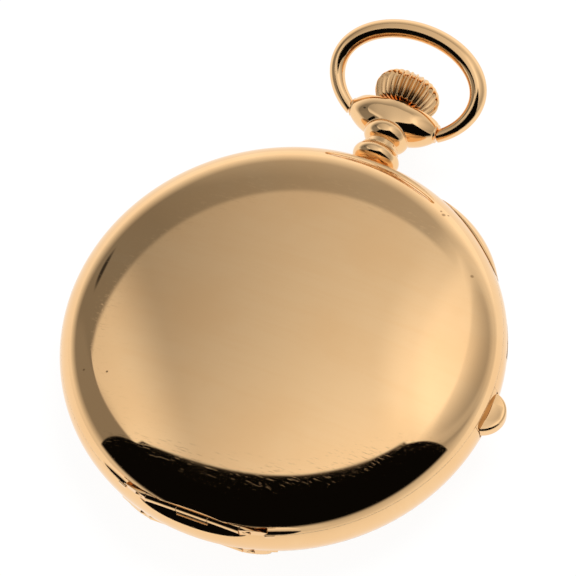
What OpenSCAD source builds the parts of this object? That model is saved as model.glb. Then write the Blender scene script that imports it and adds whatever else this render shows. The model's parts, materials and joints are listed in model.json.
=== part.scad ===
// Full hunter pocket watch: case, hinged covers, winding crown, bow and movement.
// The watch lies on its back cover. Z is the case axis, the pendant points to +Y,
// and the side push-piece sits on +X. Lengths are millimetres.

/* [Case] */
// Diameter of the case over its band
case_d = 56; // [55:0.5:60]
// Thickness of the closed case
case_t = 15; // [15:0.5:18]
// Rounding radius of the rim
rim_r = 5.5; // [5.3:0.1:6]
// Height of the band between the two covers
band_h = 4.2; // [4:0.1:4.6]
// Wall of the covers
cover_wall = 0.65; // [0.5:0.05:0.8]
// Depth of the flat that the back cover rests on
rest_cut = 0.1; // [0.08:0.02:0.2]
// Height of the thick lip inside each cover
lip_h = 1; // [0.8:0.1:1.2]
// Width of the thick lip inside each cover
lip_w = 1.3; // [1.1:0.1:1.4]
// Height of the snap wall that each cover closes over
snap_h = 0.8; // [0.6:0.1:0.9]
// Clearance between pieces that close over each other
close_gap = 0.1; // [0.08:0.01:0.12]
// Thickness of the inner dust cover
cuvette_wall = 0.4; // [0.3:0.05:0.45]

/* [Hinges] */
// Length of the cover hinges
hinge_l = 21; // [19:0.5:21.5]
// Diameter of the cover hinge knuckles
hinge_d = 1.2; // [1.1:0.05:1.3]
// Diameter of the hinge pins
hinge_pin_d = 0.56; // [0.5:0.02:0.6]
// Distance from the rim of the case to the hinge axis
hinge_in = 1.55; // [1.5:0.05:1.65]
// Gap between neighbouring knuckles
knuckle_gap = 0.06; // [0.05:0.01:0.1]
// Length of the dust cover's hinge
cuvette_hinge_l = 9; // [8:0.5:10]
// Diameter of the dust cover's hinge knuckles
cuvette_hinge_d = 0.9; // [0.85:0.05:0.95]

/* [Pendant, crown and bow] */
// Distance from the case axis to the bow's pivots
bow_pivot_y = 35.1; // [34.8:0.1:36]
// Diameter of the bead at the foot of the neck
bead_d = 5.7; // [5.2:0.1:6]
// Diameter of the upper knop of the neck
knop_d = 5.1; // [4.6:0.1:5.4]
// Diameter of the plain neck
neck_d = 4.1; // [3.8:0.1:4.4]
// Length of the pendant head, across the bow's pivots
head_l = 11.8; // [11:0.2:12.6]
// Diameter of the pendant head at its middle
head_d = 5.8; // [5.4:0.1:6.2]
// Diameter of the pendant head at its ends
head_end_d = 2.24; // [2.24:0.04:2.6]
// Diameter of the winding crown
crown_d = 8.2; // [7.8:0.1:9]
// Length of the winding crown
crown_l = 3.5; // [3.2:0.1:4.2]
// Number of flutes round the crown
crown_flutes = 28; // [20:1:32]
// How far the crown presses in to release the front cover
crown_press = 0.5; // [0.4:0.05:0.6]
// How far the crown pulls out to set the hands
crown_pull = 0.9; // [0.7:0.05:1]
// Outer width of the bow
bow_w = 21.4; // [20.6:0.2:22.6]
// Height of the bow above its pivots
bow_h = 12.9; // [12.6:0.1:14]
// How far the bow is lifted at rest, in degrees above the case's plane
bow_lift = 28; // [0:1:35]
// Thickness of the bow's wire at its top
bow_top_d = 2.4; // [2:0.1:2.6]
// Thickness of the bow's wire at its ends
bow_end_d = 1.6; // [1.4:0.1:1.8]
// Diameter of the bow's end pegs
bow_peg_d = 1; // [0.8:0.05:1.1]

/* [Repeating slide and push-piece] */
// Start of the slide, clockwise from the pendant, in degrees
slide_start = 21; // [20:0.5:22]
// Angle that the slide spans, in degrees
slide_span = 29; // [27:0.5:30]
// How far the slide stands out of the band
slide_proud = 0.7; // [0.6:0.05:0.9]
// How far the slide runs along the band, in degrees
slide_travel = 28; // [24:1:28]
// Width of the push-piece's tab along the band
push_w = 5.7; // [5.2:0.1:6]
// Height of the push-piece's tab
push_h = 1.5; // [1.4:0.1:1.7]
// How far the tab stands out, at rest
push_proud = 1.95; // [1.8:0.05:2.1]
// Travel of the push-piece
push_travel = 0.5; // [0.4:0.05:0.55]
// Diameter of the push-piece's stem
push_stem_d = 1; // [0.9:0.05:1.1]

/* [Movement] */
// Diameter of the movement
movement_d = 43; // [42.6:0.1:43.2]
// Thickness of the main plate
plate_t = 2.8; // [2.7:0.05:2.9]
// Space for the train between main plate and bridges
train_gap = 1.9; // [1.9:0.05:2]
// Thickness of the bridges
bridge_t = 1.1; // [1:0.05:1.15]
// Running clearance round arbors and pivots
run_gap = 0.04; // [0.03:0.01:0.06]
// Diameter of the pivots
pivot_d = 0.3; // [0.26:0.02:0.34]
// Outer diameter of the jewels
jewel_d = 1.3; // [1.2:0.05:1.4]
// Diameter of the balance wheel
balance_d = 13.6; // [13:0.1:13.8]
// Diameter of the hairspring
hairspring_d = 6.4; // [5.6:0.2:6.6]
// Turns of the hairspring
hairspring_turns = 9; // [6:1:10]
// Turns of the mainspring
mainspring_turns = 9; // [6:1:10]
// Radius of the gongs round the movement
gong_r = 22.5; // [22.4:0.05:22.6]
// Diameter of the gong wire
gong_d = 0.4; // [0.34:0.02:0.44]

/* [Dial, hands and glass] */
// Thickness of the dial
dial_t = 0.6; // [0.5:0.05:0.65]
// Length of the minute hand from the centre
minute_hand_l = 18; // [16:0.5:19]
// Length of the hour hand from the centre
hour_hand_l = 12; // [10:0.5:13]
// Length of the chronograph hand from the centre
chrono_hand_l = 19; // [17:0.5:19.5]
// Thickness of the glass
glass_t = 0.9; // [0.7:0.05:1]
// Rise of the glass at its middle
glass_rise = 1.3; // [1:0.1:1.4]

/* [Hidden] */
$fn = 64;

// Case surface: a broad shallow dome that runs into a rounded rim
case_r = case_d / 2;
rim_c = case_r - rim_r;
half_h = (case_t + rest_cut) / 2;
equator_z = half_h - rest_cut;
dome_r = (rim_c * rim_c + half_h * half_h - rim_r * rim_r) / (2 * (half_h - rim_r));
dome_c = half_h - dome_r;
join_x = rim_c / (dome_r - rim_r);
join_y = -dome_c / (dome_r - rim_r);
band = band_h / 2;
flange_r = rim_c + sqrt(rim_r * rim_r - band * band);
lip_r = flange_r - lip_w;
snap_r = lip_r - close_gap;

// Hinges, one for each cover, on the side away from the pendant
hinge_r = hinge_d / 2;
hinge_y = case_r - hinge_in;
hinge_rise = 0.4;
hinge_w = band + hinge_rise;
chord_y = hinge_y - hinge_r - close_gap;
chord_in = chord_y - cover_wall;
cover_edge_y = hinge_y + 0.2;
hinge_trim_r = case_r - 0.4;
knuckles = 5;
knuckle_l = hinge_l / knuckles;
shoulder_r = 0.6;
pin_r = hinge_pin_d / 2;
pin_cover = 0.2;
pin_reach = sqrt(case_r * case_r - (hinge_y + pin_r + pin_cover) * (hinge_y + pin_r + pin_cover));
gutter_r = 1.5;
gutter_y = hinge_y + 1.48;
gutter_w = band + 0.7;
scoop_r = 1;
scoop_depth = 0.2;
scoop_turn = 22;
scoop_w = 2.65;

// Lens-shaped thumb groove in each cover, beside the neck
groove_turn = -7.2;
groove_cut_r = 2.05;
groove_ring_r = 20.48;
groove_ring_y = case_r - 19.58;
groove_ring_w = half_h + 6.37;
groove_tilt = 24.3;

// Movement levels, measured from the case's equator towards the front
plate_r = movement_d / 2;
plate_back = -0.85;
plate_front = plate_back + plate_t;
bridge_front = plate_back - train_gap;
bridge_back = bridge_front - bridge_t;
bore_r = plate_r + close_gap;
dial_ledge_r = plate_r + 0.5;
chamber_r = gong_r + 0.9;
chamber_back = -2.35;
dust_seat_r = chord_in - 0.05;
dust_r = dust_seat_r - close_gap;
dial_margin = 0.3;
dial_d = movement_d - 2 * dial_margin;
dial_back = plate_front + 0.05;
dial_front = dial_back + dial_t;
bezel_seat_r = chord_in - 0.05;
spring_groove_in = dial_d / 2 + 1.1;
spring_groove_floor = -0.2;

// Train, laid out in plan
centre_m = 0.17;
third_m = 0.155;
fourth_m = 0.115;
great_m = 0.17;
motion_m = 0.16;
great_teeth = 80;
centre_pinion_teeth = 10;
centre_teeth = 64;
third_pinion_teeth = 8;
third_teeth = 60;
fourth_pinion_teeth = 8;
fourth_teeth = 70;
escape_pinion_teeth = 7;
escape_teeth = 15;
cannon_teeth = 12;
minute_teeth = 36;
minute_pinion_teeth = 10;
hour_teeth = 40;
crown_wheel_teeth = 24;
crown_contrate_teeth = 32;
winding_teeth = 16;
ratchet_teeth = 36;
ratchet_m = 0.34;

function mesh_distance(m, a, b) = m * (a + b) / 2;
function along(p, angle, d) = [p.x + d * cos(angle), p.y + d * sin(angle)];
function heading(p, q) = atan2(q.y - p.y, q.x - p.x);
function span(p, q) = norm([q.x - p.x, q.y - p.y]);

centre_at = [0, 0];
barrel_angle = 144;
barrel_at = along(centre_at, barrel_angle, mesh_distance(great_m, great_teeth, centre_pinion_teeth));
fourth_at = [10.2, 0];
third_reach = mesh_distance(centre_m, centre_teeth, third_pinion_teeth);
fourth_reach = mesh_distance(third_m, third_teeth, fourth_pinion_teeth);
third_x = (third_reach * third_reach - fourth_reach * fourth_reach + fourth_at.x * fourth_at.x)
  / (2 * fourth_at.x);
third_at = [third_x, sqrt(third_reach * third_reach - third_x * third_x)];
escape_at = along(fourth_at, -106, mesh_distance(fourth_m, fourth_teeth, escape_pinion_teeth));
lever_angle = -132;
pallet_at = along(escape_at, lever_angle, 3.4);
balance_at = along(pallet_at, lever_angle, 4.9);
minute_angle = 108;
minute_at = along(centre_at, minute_angle, mesh_distance(motion_m, cannon_teeth, minute_teeth));
minute_pinion_m = mesh_distance(motion_m, cannon_teeth, minute_teeth) * 2
  / (minute_pinion_teeth + hour_teeth);
ratchet_reach = mesh_distance(ratchet_m, ratchet_teeth, crown_wheel_teeth);
crown_wheel_angle = acos(-barrel_at.x / ratchet_reach);
crown_wheel_at = along(barrel_at, crown_wheel_angle, ratchet_reach);
winding_m = 0.17;
winding_tip = winding_m * (winding_teeth / 2 + 0.85);
contrate_r = winding_m * crown_contrate_teeth / 2;
winding_l = 1.1;
winding_at = crown_wheel_at.y + contrate_r - winding_l / 2;
sliding_at = winding_at - 2.4;
groove_at = winding_at + 4.2;
groove_w = 0.9;
setting_at = [-4.4, groove_at + groove_w / 2 - 0.5];
column_at = [14.6, 4.6];
lever_pivot_at = [18.2, 3.2];
click_at = along(barrel_at, 205, 7.9);
hour_hammer_angle = 205;
quarter_hammer_angle = 232;
bridge_screw_spots = [
  [-18.2, -3.2], [-14.6, 12.2], [6.1, 17.6], [17.2, 8.6], [18.7, -5.2], [9.4, -17.4]
];
case_screw_angles = [97, 275];
case_screw_at = plate_r - 0.3;
jewel_spots = [third_at, fourth_at, escape_at];
pallet_jewel_spots = [pallet_at];

// Colours, as the photograph and such movements show them
gold = "goldenrod";
steel = "lightsteelblue";
brass = "khaki";
gilt = "darkkhaki";
ruby = "crimson";

module at_equator() {
  translate([0, 0, equator_z]) children();
}

// Region under the case surface, with the surface brought in by inset
module case_half(inset) {
  reach = 2 * rim_r;
  intersection() {
    translate([0, dome_c]) circle(r = dome_r - inset, $fn = 720);
    polygon([[0, 0], [rim_c, 0], [rim_c + reach * join_x, reach * join_y], [0, reach * join_y]]);
  }
  intersection() {
    translate([rim_c, 0]) circle(r = rim_r - inset, $fn = 128);
    polygon([
      [rim_c, 0], [rim_c + reach, 0], [rim_c + reach, reach],
      [rim_c + reach * join_x, reach * join_y]
    ]);
  }
}

// Solid of revolution between two heights under the case surface
module case_body(inset, low) {
  rotate_extrude($fn = 180) intersection() {
    case_half(inset);
    translate([0, low]) square([case_r + 1, half_h]);
  }
}

module towards_pendant() {
  rotate([-90, 0, 0]) children();
}

module ring(outer, inner, low, high) {
  translate([0, 0, low]) difference() {
    cylinder(r = outer, h = high - low);
    translate([0, 0, -1]) cylinder(r = inner, h = high - low + 2);
  }
}

module disc(r, low, high) {
  translate([0, 0, low]) cylinder(r = r, h = high - low);
}

// Flat arc of a ring, from one angle to another
module arc_ring(outer, inner, low, high, from, to) {
  translate([0, 0, low]) rotate([0, 0, from])
    rotate_extrude(angle = to - from, $fn = 180)
      translate([inner, 0]) square([outer - inner, high - low]);
}

// Round bar along X between two places
module bar_x(r, from, to) {
  translate([from, 0, 0]) rotate([0, 90, 0]) cylinder(r = r, h = to - from);
}

// Outline of a toothed wheel: four points a tooth, with room for backlash
function tooth_points(teeth, tip_r, root_r) = [
  for (i = [0 : teeth - 1], c = [[-0.27, 0], [-0.11, 1], [0.11, 1], [0.27, 0]])
    let (a = (i + c[0]) * 360 / teeth, r = c[1] == 1 ? tip_r : root_r)
      [r * cos(a), r * sin(a)]
];

// Outline of a saw-toothed wheel, for the escape wheel and the ratchet wheel
function saw_points(teeth, tip_r, root_r, lean) = [
  for (i = [0 : teeth - 1], c = [[0, 1], [0.08, 1], [0.2 * lean, 0]])
    let (a = (i + c[0]) * 360 / teeth, r = c[1] == 1 ? tip_r : root_r)
      [r * cos(a), r * sin(a)]
];

module toothed(teeth, m, low, high, phase = 0) {
  pitch_r = m * teeth / 2;
  translate([0, 0, low]) rotate([0, 0, phase]) linear_extrude(high - low)
    polygon(tooth_points(teeth, pitch_r + 0.85 * m, pitch_r - 1.15 * m));
}

// Crossed wheel: a rim, a hub and slim arms
module crossings(r_in, r_out, arms, arm_w) {
  difference() {
    circle(r = r_out);
    circle(r = r_in);
    for (i = [0 : arms - 1]) {
      rotate([0, 0, i * 360 / arms]) translate([0, -arm_w / 2]) square([r_out + 1, arm_w]);
    }
  }
}

module crossed_wheel(teeth, m, low, high, phase, arms) {
  pitch_r = m * teeth / 2;
  difference() {
    toothed(teeth, m, low, high, phase);
    translate([0, 0, low - 1]) linear_extrude(high - low + 2)
      crossings(pitch_r * 0.26, pitch_r - 3 * m, arms, pitch_r * 0.13);
  }
}

// Staff with a pivot at each end
module staff(r, low, high, pivot_low, pivot_high) {
  disc(r, low, high);
  disc(pivot_d / 2, pivot_low, pivot_high);
}

// Keeps a piece on the rim side of a hinge's straight cut
module cut_to_chord(y) {
  intersection() {
    children();
    translate([-case_d, -y, -case_t]) cube([2 * case_d, 2 * case_d, 2 * case_t]);
  }
}

// The groove's cutter is a slim ring, tipped so that it runs out at both ends
module thumb_groove() {
  rotate([0, 0, groove_turn]) translate([0, groove_ring_y, groove_ring_w]) rotate([-groove_tilt, 0, 0])
    rotate_extrude($fn = 180) translate([groove_ring_r, 0]) circle(r = groove_cut_r);
}

// Shallow scoop in the cover's rim beside each end of the hinge
module hinge_end_scoops() {
  scoop_surface = rim_c + sqrt(rim_r * rim_r - scoop_w * scoop_w);
  out = (scoop_r - scoop_depth) / rim_r;
  for (side = [-1, 1]) {
    rotate([0, 0, side * scoop_turn])
      translate([0, -scoop_surface - out * (scoop_surface - rim_c), scoop_w * (1 + out)])
        bar_x(scoop_r, -case_r / 4, case_r / 4);
  }
}

// Hinge knuckles: the odd ones belong to the band, the even ones to the cover
module hinge_knuckles(first) {
  for (i = [first : 2 : knuckles - 1]) {
    low = -hinge_l / 2 + i * knuckle_l + (i > 0 ? knuckle_gap / 2 : 0);
    high = -hinge_l / 2 + (i + 1) * knuckle_l - (i < knuckles - 1 ? knuckle_gap / 2 : 0);
    translate([0, -hinge_y, hinge_w]) bar_x(hinge_r, low, high);
    if (first == 1)
      translate([low, -hinge_y, band + 0.06]) cube([high - low, hinge_y - chord_y + 0.15, hinge_r]);
    else
      translate([low, -hinge_y - hinge_r, band - 0.5]) cube([high - low, 2 * hinge_r, 0.5]);
  }
}

module cover_solid() {
  difference() {
    cut_to_chord(cover_edge_y) case_body(0, band);
    cut_to_chord(chord_in) union() {
      case_body(cover_wall, band + lip_h);
      disc(lip_r, band - 1, band + lip_h + 0.5);
    }
    thumb_groove();
    hinge_end_scoops();
    translate([0, -hinge_y, hinge_w]) bar_x(hinge_r + close_gap, -hinge_l / 2 - close_gap, hinge_l / 2 + close_gap);
  }
}

module cover() {
  difference() {
    union() {
      cover_solid();
      hinge_knuckles(1);
    }
    translate([0, -hinge_y, hinge_w]) bar_x(pin_r + run_gap, -case_r, case_r);
  }
}

module front_cover() {
  color(gold) at_equator() cover();
}

module back_cover() {
  color(gold) at_equator() difference() {
    mirror([0, 0, 1]) cover();
    translate([-case_r, -case_r, -equator_z - 2]) cube([case_d, case_d, 2]);
  }
}

module cover_pin() {
  translate([0, -hinge_y, hinge_w]) bar_x(pin_r, -pin_reach, pin_reach);
}

module front_hinge_pin() {
  color(steel) at_equator() cover_pin();
}

module back_hinge_pin() {
  color(steel) at_equator() mirror([0, 0, 1]) cover_pin();
}

// Section of the band: flange, snap walls, seats, bore and gong chamber
module band_section() {
  difference() {
    union() {
      intersection() {
        case_half(0);
        translate([0, -1]) square([case_r + 1, band + 1]);
      }
      mirror([0, 1]) intersection() {
        case_half(0);
        translate([0, -1]) square([case_r + 1, band + 1]);
      }
      translate([0, -band - snap_h]) square([snap_r, 2 * (band + snap_h)]);
    }
    translate([-1, plate_front - 0.75]) square([1 + dial_ledge_r + close_gap, case_t]);
    translate([-1, plate_back]) square([1 + bore_r, case_t]);
    translate([-1, plate_front - 0.3]) square([1 + bezel_seat_r, case_t]);
    translate([spring_groove_in, spring_groove_floor]) square([bezel_seat_r - spring_groove_in, case_t]);
    translate([-1, chamber_back - 1]) square([1 + chamber_r, 1 + plate_back - chamber_back]);
    translate([-1, -case_t]) square([1 + dust_seat_r, case_t + chamber_back]);
  }
}

// Straight clearance for a hinge: no snap wall beside the cover's straight wall
module hinge_relief() {
  relief_y = chord_in - close_gap;
  translate([-case_r, -case_r - 1, band]) cube([case_d, case_r + 1 - relief_y, snap_h + 1]);
}

module hinge_trough() {
  for (i = [1 : 2 : knuckles - 1]) {
    translate([0, -hinge_y, hinge_w])
      bar_x(hinge_r + close_gap, -hinge_l / 2 + i * knuckle_l - knuckle_gap / 2,
        -hinge_l / 2 + (i + 1) * knuckle_l + knuckle_gap / 2);
  }
}

// Gutter in the band under the hinge, lens-shaped because the band is round
module hinge_gutter() {
  translate([0, -gutter_y, gutter_w]) bar_x(gutter_r, -case_r / 2, case_r / 2);
}

// Rounded shoulders of the band between the ends of both hinges
module hinge_shoulders() {
  intersection() {
    for (side = [-1, 1]) {
      translate([side * (hinge_l / 2 - shoulder_r), shoulder_r - hinge_y, -band]) {
        cylinder(r = shoulder_r, h = band_h);
        translate([-shoulder_r, 0, 0]) cube([2 * shoulder_r, 2 * shoulder_r, band_h]);
      }
    }
    disc(hinge_trim_r + 0.15, -case_t, case_t);
  }
}

module hinge_cuts() {
  hinge_relief();
  hinge_trough();
  hinge_gutter();
}

module hinge_adds() {
  intersection() {
    hinge_knuckles(0);
    disc(hinge_trim_r, -case_t, case_t);
  }
}

slide_slot_half = 0.5;
slide_tongue_in = bezel_seat_r + 0.5;

module slide_slot() {
  arc_ring(case_r + 2, slide_tongue_in - 1, -slide_slot_half - run_gap, slide_slot_half + run_gap,
    90 - slide_start - slide_span + 5 - slide_travel - 0.3, 90 - slide_start - 5 + 0.3);
}

module case_middle() {
  color(gold) at_equator() difference() {
    union() {
      difference() {
        union() {
          rotate_extrude($fn = 180) band_section();
          hinge_shoulders();
        }
        disc(bore_r, -case_t, case_t);
        hinge_cuts();
        mirror([0, 0, 1]) hinge_cuts();
        disc(dust_seat_r, -case_t, chamber_back);
      }
      hinge_adds();
      mirror([0, 0, 1]) hinge_adds();
      dust_knuckles(0);
    }
    towards_pendant() cylinder(r = neck_d / 2 - 0.28, h = case_d);
    towards_pendant() translate([0, 0, flange_r]) cylinder(r = neck_d / 2 - 0.03, h = case_d);
    rotate([0, 90, 0]) translate([pusher_drop, 0, 0]) cylinder(r = push_stem_d / 2 + run_gap, h = case_d);
    slide_slot();
    for (side = [0, 1]) {
      mirror([0, 0, side]) translate([0, -hinge_y, hinge_w]) bar_x(pin_r + 0.01, -pin_reach - 0.05, pin_reach + 0.05);
    }
    pusher_seat();
    dust_cover_cuts();
    for (a = case_screw_angles) {
      rotate([0, 0, a]) translate([case_screw_at, 0, 0]) disc(1.35, plate_back - 1.2, plate_back);
    }
  }
}

// Dust cover hinge, inside the back cover
dust_hinge_r = cuvette_hinge_d / 2;
dust_hinge_y = dust_seat_r - dust_hinge_r - 0.25;
dust_hinge_w = chamber_back - 0.2;

module dust_knuckles(first) {
  piece = cuvette_hinge_l / 3;
  for (i = [first : 2 : 2]) {
    low = -cuvette_hinge_l / 2 + i * piece + (i > 0 ? knuckle_gap / 2 : 0);
    high = -cuvette_hinge_l / 2 + (i + 1) * piece - (i < 2 ? knuckle_gap / 2 : 0);
    translate([0, -dust_hinge_y, dust_hinge_w]) {
      bar_x(dust_hinge_r, low, high);
      if (first == 0)
        translate([low, -dust_hinge_r - 0.3, 0.22]) cube([high - low, dust_hinge_r + 0.3, 0.38]);
      else
        translate([low, 0, -dust_hinge_r - 0.35]) cube([high - low, 1.1, 0.45]);
    }
  }
}

module dust_cover_cuts() {
  piece = cuvette_hinge_l / 3;
  translate([0, -dust_hinge_y, dust_hinge_w]) {
    bar_x(dust_hinge_r + close_gap, -piece / 2 - knuckle_gap / 2, piece / 2 + knuckle_gap / 2);
    bar_x(0.26, -cuvette_hinge_l / 2 - 0.1, cuvette_hinge_l / 2 + 0.1);
  }
}

// Section of the dust cover: a thin dome with a skirt that fits inside the band
dust_inset = cover_wall + 0.45;
dust_skirt_w = 0.45;
dust_skirt_h = 1.3;
dust_chord = dust_hinge_y - dust_hinge_r - close_gap - 0.05;
dust_web_w = chord_web_depth();

function chord_web_depth() =
  let (r = rim_r - dust_inset - cuvette_wall / 2, x = dust_chord - rim_c) sqrt(r * r - x * x);

module dust_section() {
  intersection() {
    difference() {
      case_half(dust_inset);
      case_half(dust_inset + cuvette_wall);
    }
    square([dust_r, case_t]);
  }
  translate([dust_r - dust_skirt_w, -chamber_back + 0.05]) square([dust_skirt_w, dust_skirt_h]);
}

module dust_cover() {
  web_l = cuvette_hinge_l / 3 - 2 * knuckle_gap;
  color(gold) at_equator() difference() {
    union() {
      cut_to_chord(dust_chord) mirror([0, 0, 1]) rotate_extrude($fn = 180) dust_section();
      translate([-web_l / 2, -dust_chord, -dust_web_w])
        cube([web_l, 0.5, dust_web_w + dust_hinge_w - 0.2]);
      dust_knuckles(1);
    }
    translate([0, -dust_hinge_y, dust_hinge_w]) bar_x(0.25 + run_gap, -case_r, case_r);
  }
}

module dust_cover_hinge_pin() {
  color(steel) at_equator() translate([0, -dust_hinge_y, dust_hinge_w])
    bar_x(0.25, -cuvette_hinge_l / 2 + 0.15, cuvette_hinge_l / 2 - 0.15);
}

// Bezel and glass, under the front cover
bezel_back = plate_front - 0.25;
bezel_r = bezel_seat_r - close_gap;
glass_r = dial_d / 2 + 0.1;
glass_back = dial_front + 1.05;

module bezel() {
  color(gold) at_equator() rotate_extrude($fn = 180) difference() {
    union() {
      translate([0, bezel_back]) square([bezel_r, 1.1]);
      translate([dial_d / 2 - 0.5, dial_front + 0.1]) square([2.4, 1.9]);
    }
    translate([0, glass_back]) square([glass_r + 0.05, 3]);
    translate([dial_d / 2 + 2.6, dial_front + 2.1]) circle(r = 1.2);
    translate([0, bezel_back - 1]) square([dial_ledge_r + close_gap, plate_front + 1.1 - bezel_back]);
    translate([0, bezel_back - 1]) square([dial_d / 2 + close_gap, dial_front + 1.1 - bezel_back]);
    translate([0, bezel_back - 1]) square([dial_d / 2 - 0.5, case_t]);
  }
}

module glass() {
  chord_r = (glass_r * glass_r + glass_rise * glass_rise) / (2 * glass_rise);
  color("aliceblue") at_equator() translate([0, 0, glass_back + 0.03]) rotate_extrude($fn = 180)
    difference() {
      intersection() {
        square([glass_r, 4]);
        translate([0, glass_t + glass_rise - chord_r]) circle(r = chord_r, $fn = 360);
      }
      translate([0, glass_rise - chord_r]) circle(r = chord_r, $fn = 360);
      translate([-0.1, -1]) square([glass_r - 0.8, 1]);
    }
}

// Pendant: neck with a bead and a knop, and a head across the bow's pivots
head_r = head_d / 2;
head_end_r = head_end_d / 2;
head_arc = head_r - head_end_r;
head_arc_r = (head_l * head_l / 4 + head_arc * head_arc) / (2 * head_arc);
seat_y = bow_pivot_y + 2;
bead_y = case_r + 1;
knop_y = bow_pivot_y - 2.45;
stem_r = 0.7;
sleeve_r = 1.2;

module pendant_neck() {
  towards_pendant() difference() {
    rotate_extrude() difference() {
      union() {
        translate([0, flange_r + 0.01]) square([neck_d / 2 - 0.05, bow_pivot_y - flange_r]);
        intersection() {
          translate([bead_d / 2 - 1.15, bead_y]) circle(r = 1.15);
          square([bead_d, 2 * case_d]);
        }
        translate([0, bead_y - 0.8]) square([bead_d / 2 - 0.75, 1.6]);
        translate([0, bead_y + 1.05]) square([neck_d / 2 + 0.2, 0.28]);
        intersection() {
          translate([knop_d / 2 - 1.35, knop_y]) circle(r = 1.35);
          square([knop_d, 2 * case_d]);
        }
        translate([0, flange_r - 1.2]) square([neck_d / 2 - 0.3, 3]);
      }
      translate([-1, 0]) square([1 + sleeve_r + run_gap, 2 * case_d]);
    }
  }
}

module pendant_head() {
  translate([0, bow_pivot_y, 0]) rotate([0, 90, 0]) rotate_extrude() {
    intersection() {
      translate([head_r - head_arc_r, 0]) circle(r = head_arc_r, $fn = 256);
      translate([0, -head_l / 2]) square([head_r, head_l]);
    }
    for (side = [-1, 1]) {
      translate([0, side * (head_l / 2 - 0.25) - 0.25]) square([head_end_r + 0.15, 0.5]);
    }
  }
}

module crown_seat() {
  towards_pendant() {
    translate([0, 0, bow_pivot_y - 0.4]) cylinder(r1 = head_r - 0.3, r2 = crown_d / 2 - 0.25, h = 1.9);
    translate([0, 0, seat_y - 0.5]) cylinder(r = crown_d / 2 - 0.25, h = 0.5);
  }
}

module pendant() {
  color(gold) at_equator() difference() {
    union() {
      pendant_neck();
      pendant_head();
      crown_seat();
    }
    towards_pendant() cylinder(r = sleeve_r + run_gap, h = bow_pivot_y - 1);
    towards_pendant() cylinder(r = stem_r + run_gap, h = case_d);
    towards_pendant() translate([0, 0, seat_y - 0.9]) cylinder(r = 2.2, h = 2);
    towards_pendant() translate([0, 0, seat_y]) cylinder(r = crown_d / 2 + 0.2, h = 3);
    for (side = [0, 1]) {
      mirror([side, 0, 0]) translate([0, bow_pivot_y, 0])
        bar_x(bow_peg_d / 2 + run_gap, head_l / 2 - 1.5, head_l);
    }
  }
}

// Bow: a tapering wire swept along an egg-shaped path, with a peg at each end
bow_a = bow_w / 2 - bow_top_d / 2;
bow_top_b = 6.4;
bow_mid = bow_h - bow_top_d / 2 - bow_top_b;
bow_end_x = head_l / 2 + bow_end_d / 2 + 0.06;
bow_end_y = 0.3;
bow_low_angle = acos(bow_end_x / bow_a);
bow_low_b = (bow_mid - bow_end_y) / sin(bow_low_angle);
bow_rings = 40;
bow_sides = 14;

function bow_point(t) = [bow_a * cos(t), bow_mid + (t > 0 && t < 180 ? bow_top_b : bow_low_b) * sin(t)];
function bow_heading(t) = heading(bow_point(t - 1), bow_point(t + 1));
function bow_wire_r(t) =
  let (rise = (sin(t) + sin(bow_low_angle)) / (1 + sin(bow_low_angle)))
    bow_end_d / 2 + (bow_top_d - bow_end_d) / 2 * sin(90 * rise);

module bow_wire() {
  start = -bow_low_angle;
  step = (180 + 2 * bow_low_angle) / (bow_rings - 1);
  caps = [30, 60, 82];
  stations = concat(
    [for (c = [2 : -1 : 0]) [start, -caps[c]]],
    [for (i = [0 : bow_rings - 1]) [start + i * step, 0]],
    [for (c = [0 : 2]) [180 + bow_low_angle, caps[c]]]
  );
  points = [
    for (s = stations, j = [0 : bow_sides - 1])
      let (p = bow_point(s[0]), h = bow_heading(s[0]), full = bow_wire_r(s[0]),
        r = full * cos(s[1]), ahead = full * sin(s[1]), a = j * 360 / bow_sides)
        [p.x + ahead * cos(h) + r * cos(a) * sin(h), p.y + ahead * sin(h) - r * cos(a) * cos(h), r * sin(a)]
  ];
  last = len(stations) - 1;
  walls = [
    for (i = [0 : last - 1], j = [0 : bow_sides - 1])
      let (k = (j + 1) % bow_sides, a = i * bow_sides, b = (i + 1) * bow_sides)
        each [[a + j, b + k, b + j], [a + j, a + k, b + k]]
  ];
  near_end = [for (j = [bow_sides - 1 : -1 : 0]) j];
  far_end = [for (j = [0 : bow_sides - 1]) last * bow_sides + j];
  polyhedron(points = points, faces = concat(walls, [near_end, far_end]), convexity = 4);
}

module bow() {
  color(gold) at_equator() translate([0, bow_pivot_y, 0]) rotate([bow_lift, 0, 0]) {
    bow_wire();
    for (side = [0, 1]) {
      mirror([side, 0, 0]) bar_x(bow_peg_d / 2, head_l / 2 - 1.2, bow_end_x);
    }
  }
}

// Crown with flutes that run out over its shoulder
crown_y = seat_y + crown_press + 0.08;

module crown() {
  crown_r = crown_d / 2;
  shoulder = 1.25;
  color(gold) at_equator() towards_pendant() translate([0, 0, crown_y]) difference() {
    rotate_extrude($fn = 96) {
      square([crown_r, crown_l - shoulder]);
      intersection() {
        translate([crown_r - 2.2, crown_l - shoulder - 0.3]) scale([1, 1]) circle(r = 2.2);
        translate([0, crown_l - shoulder]) square([crown_r, crown_l]);
      }
      translate([0, crown_l - shoulder]) square([crown_r - 2.2, 2.2 - 0.3]);
    }
    for (i = [0 : crown_flutes - 1]) {
      rotate([0, 0, i * 360 / crown_flutes]) translate([crown_r + 0.08, 0, -1])
        cylinder(r = 0.36, h = crown_l + 2, $fn = 20);
    }
    translate([0, 0, -1]) cylinder(r = stem_r + 0.01, h = 3);
  }
}

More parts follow.
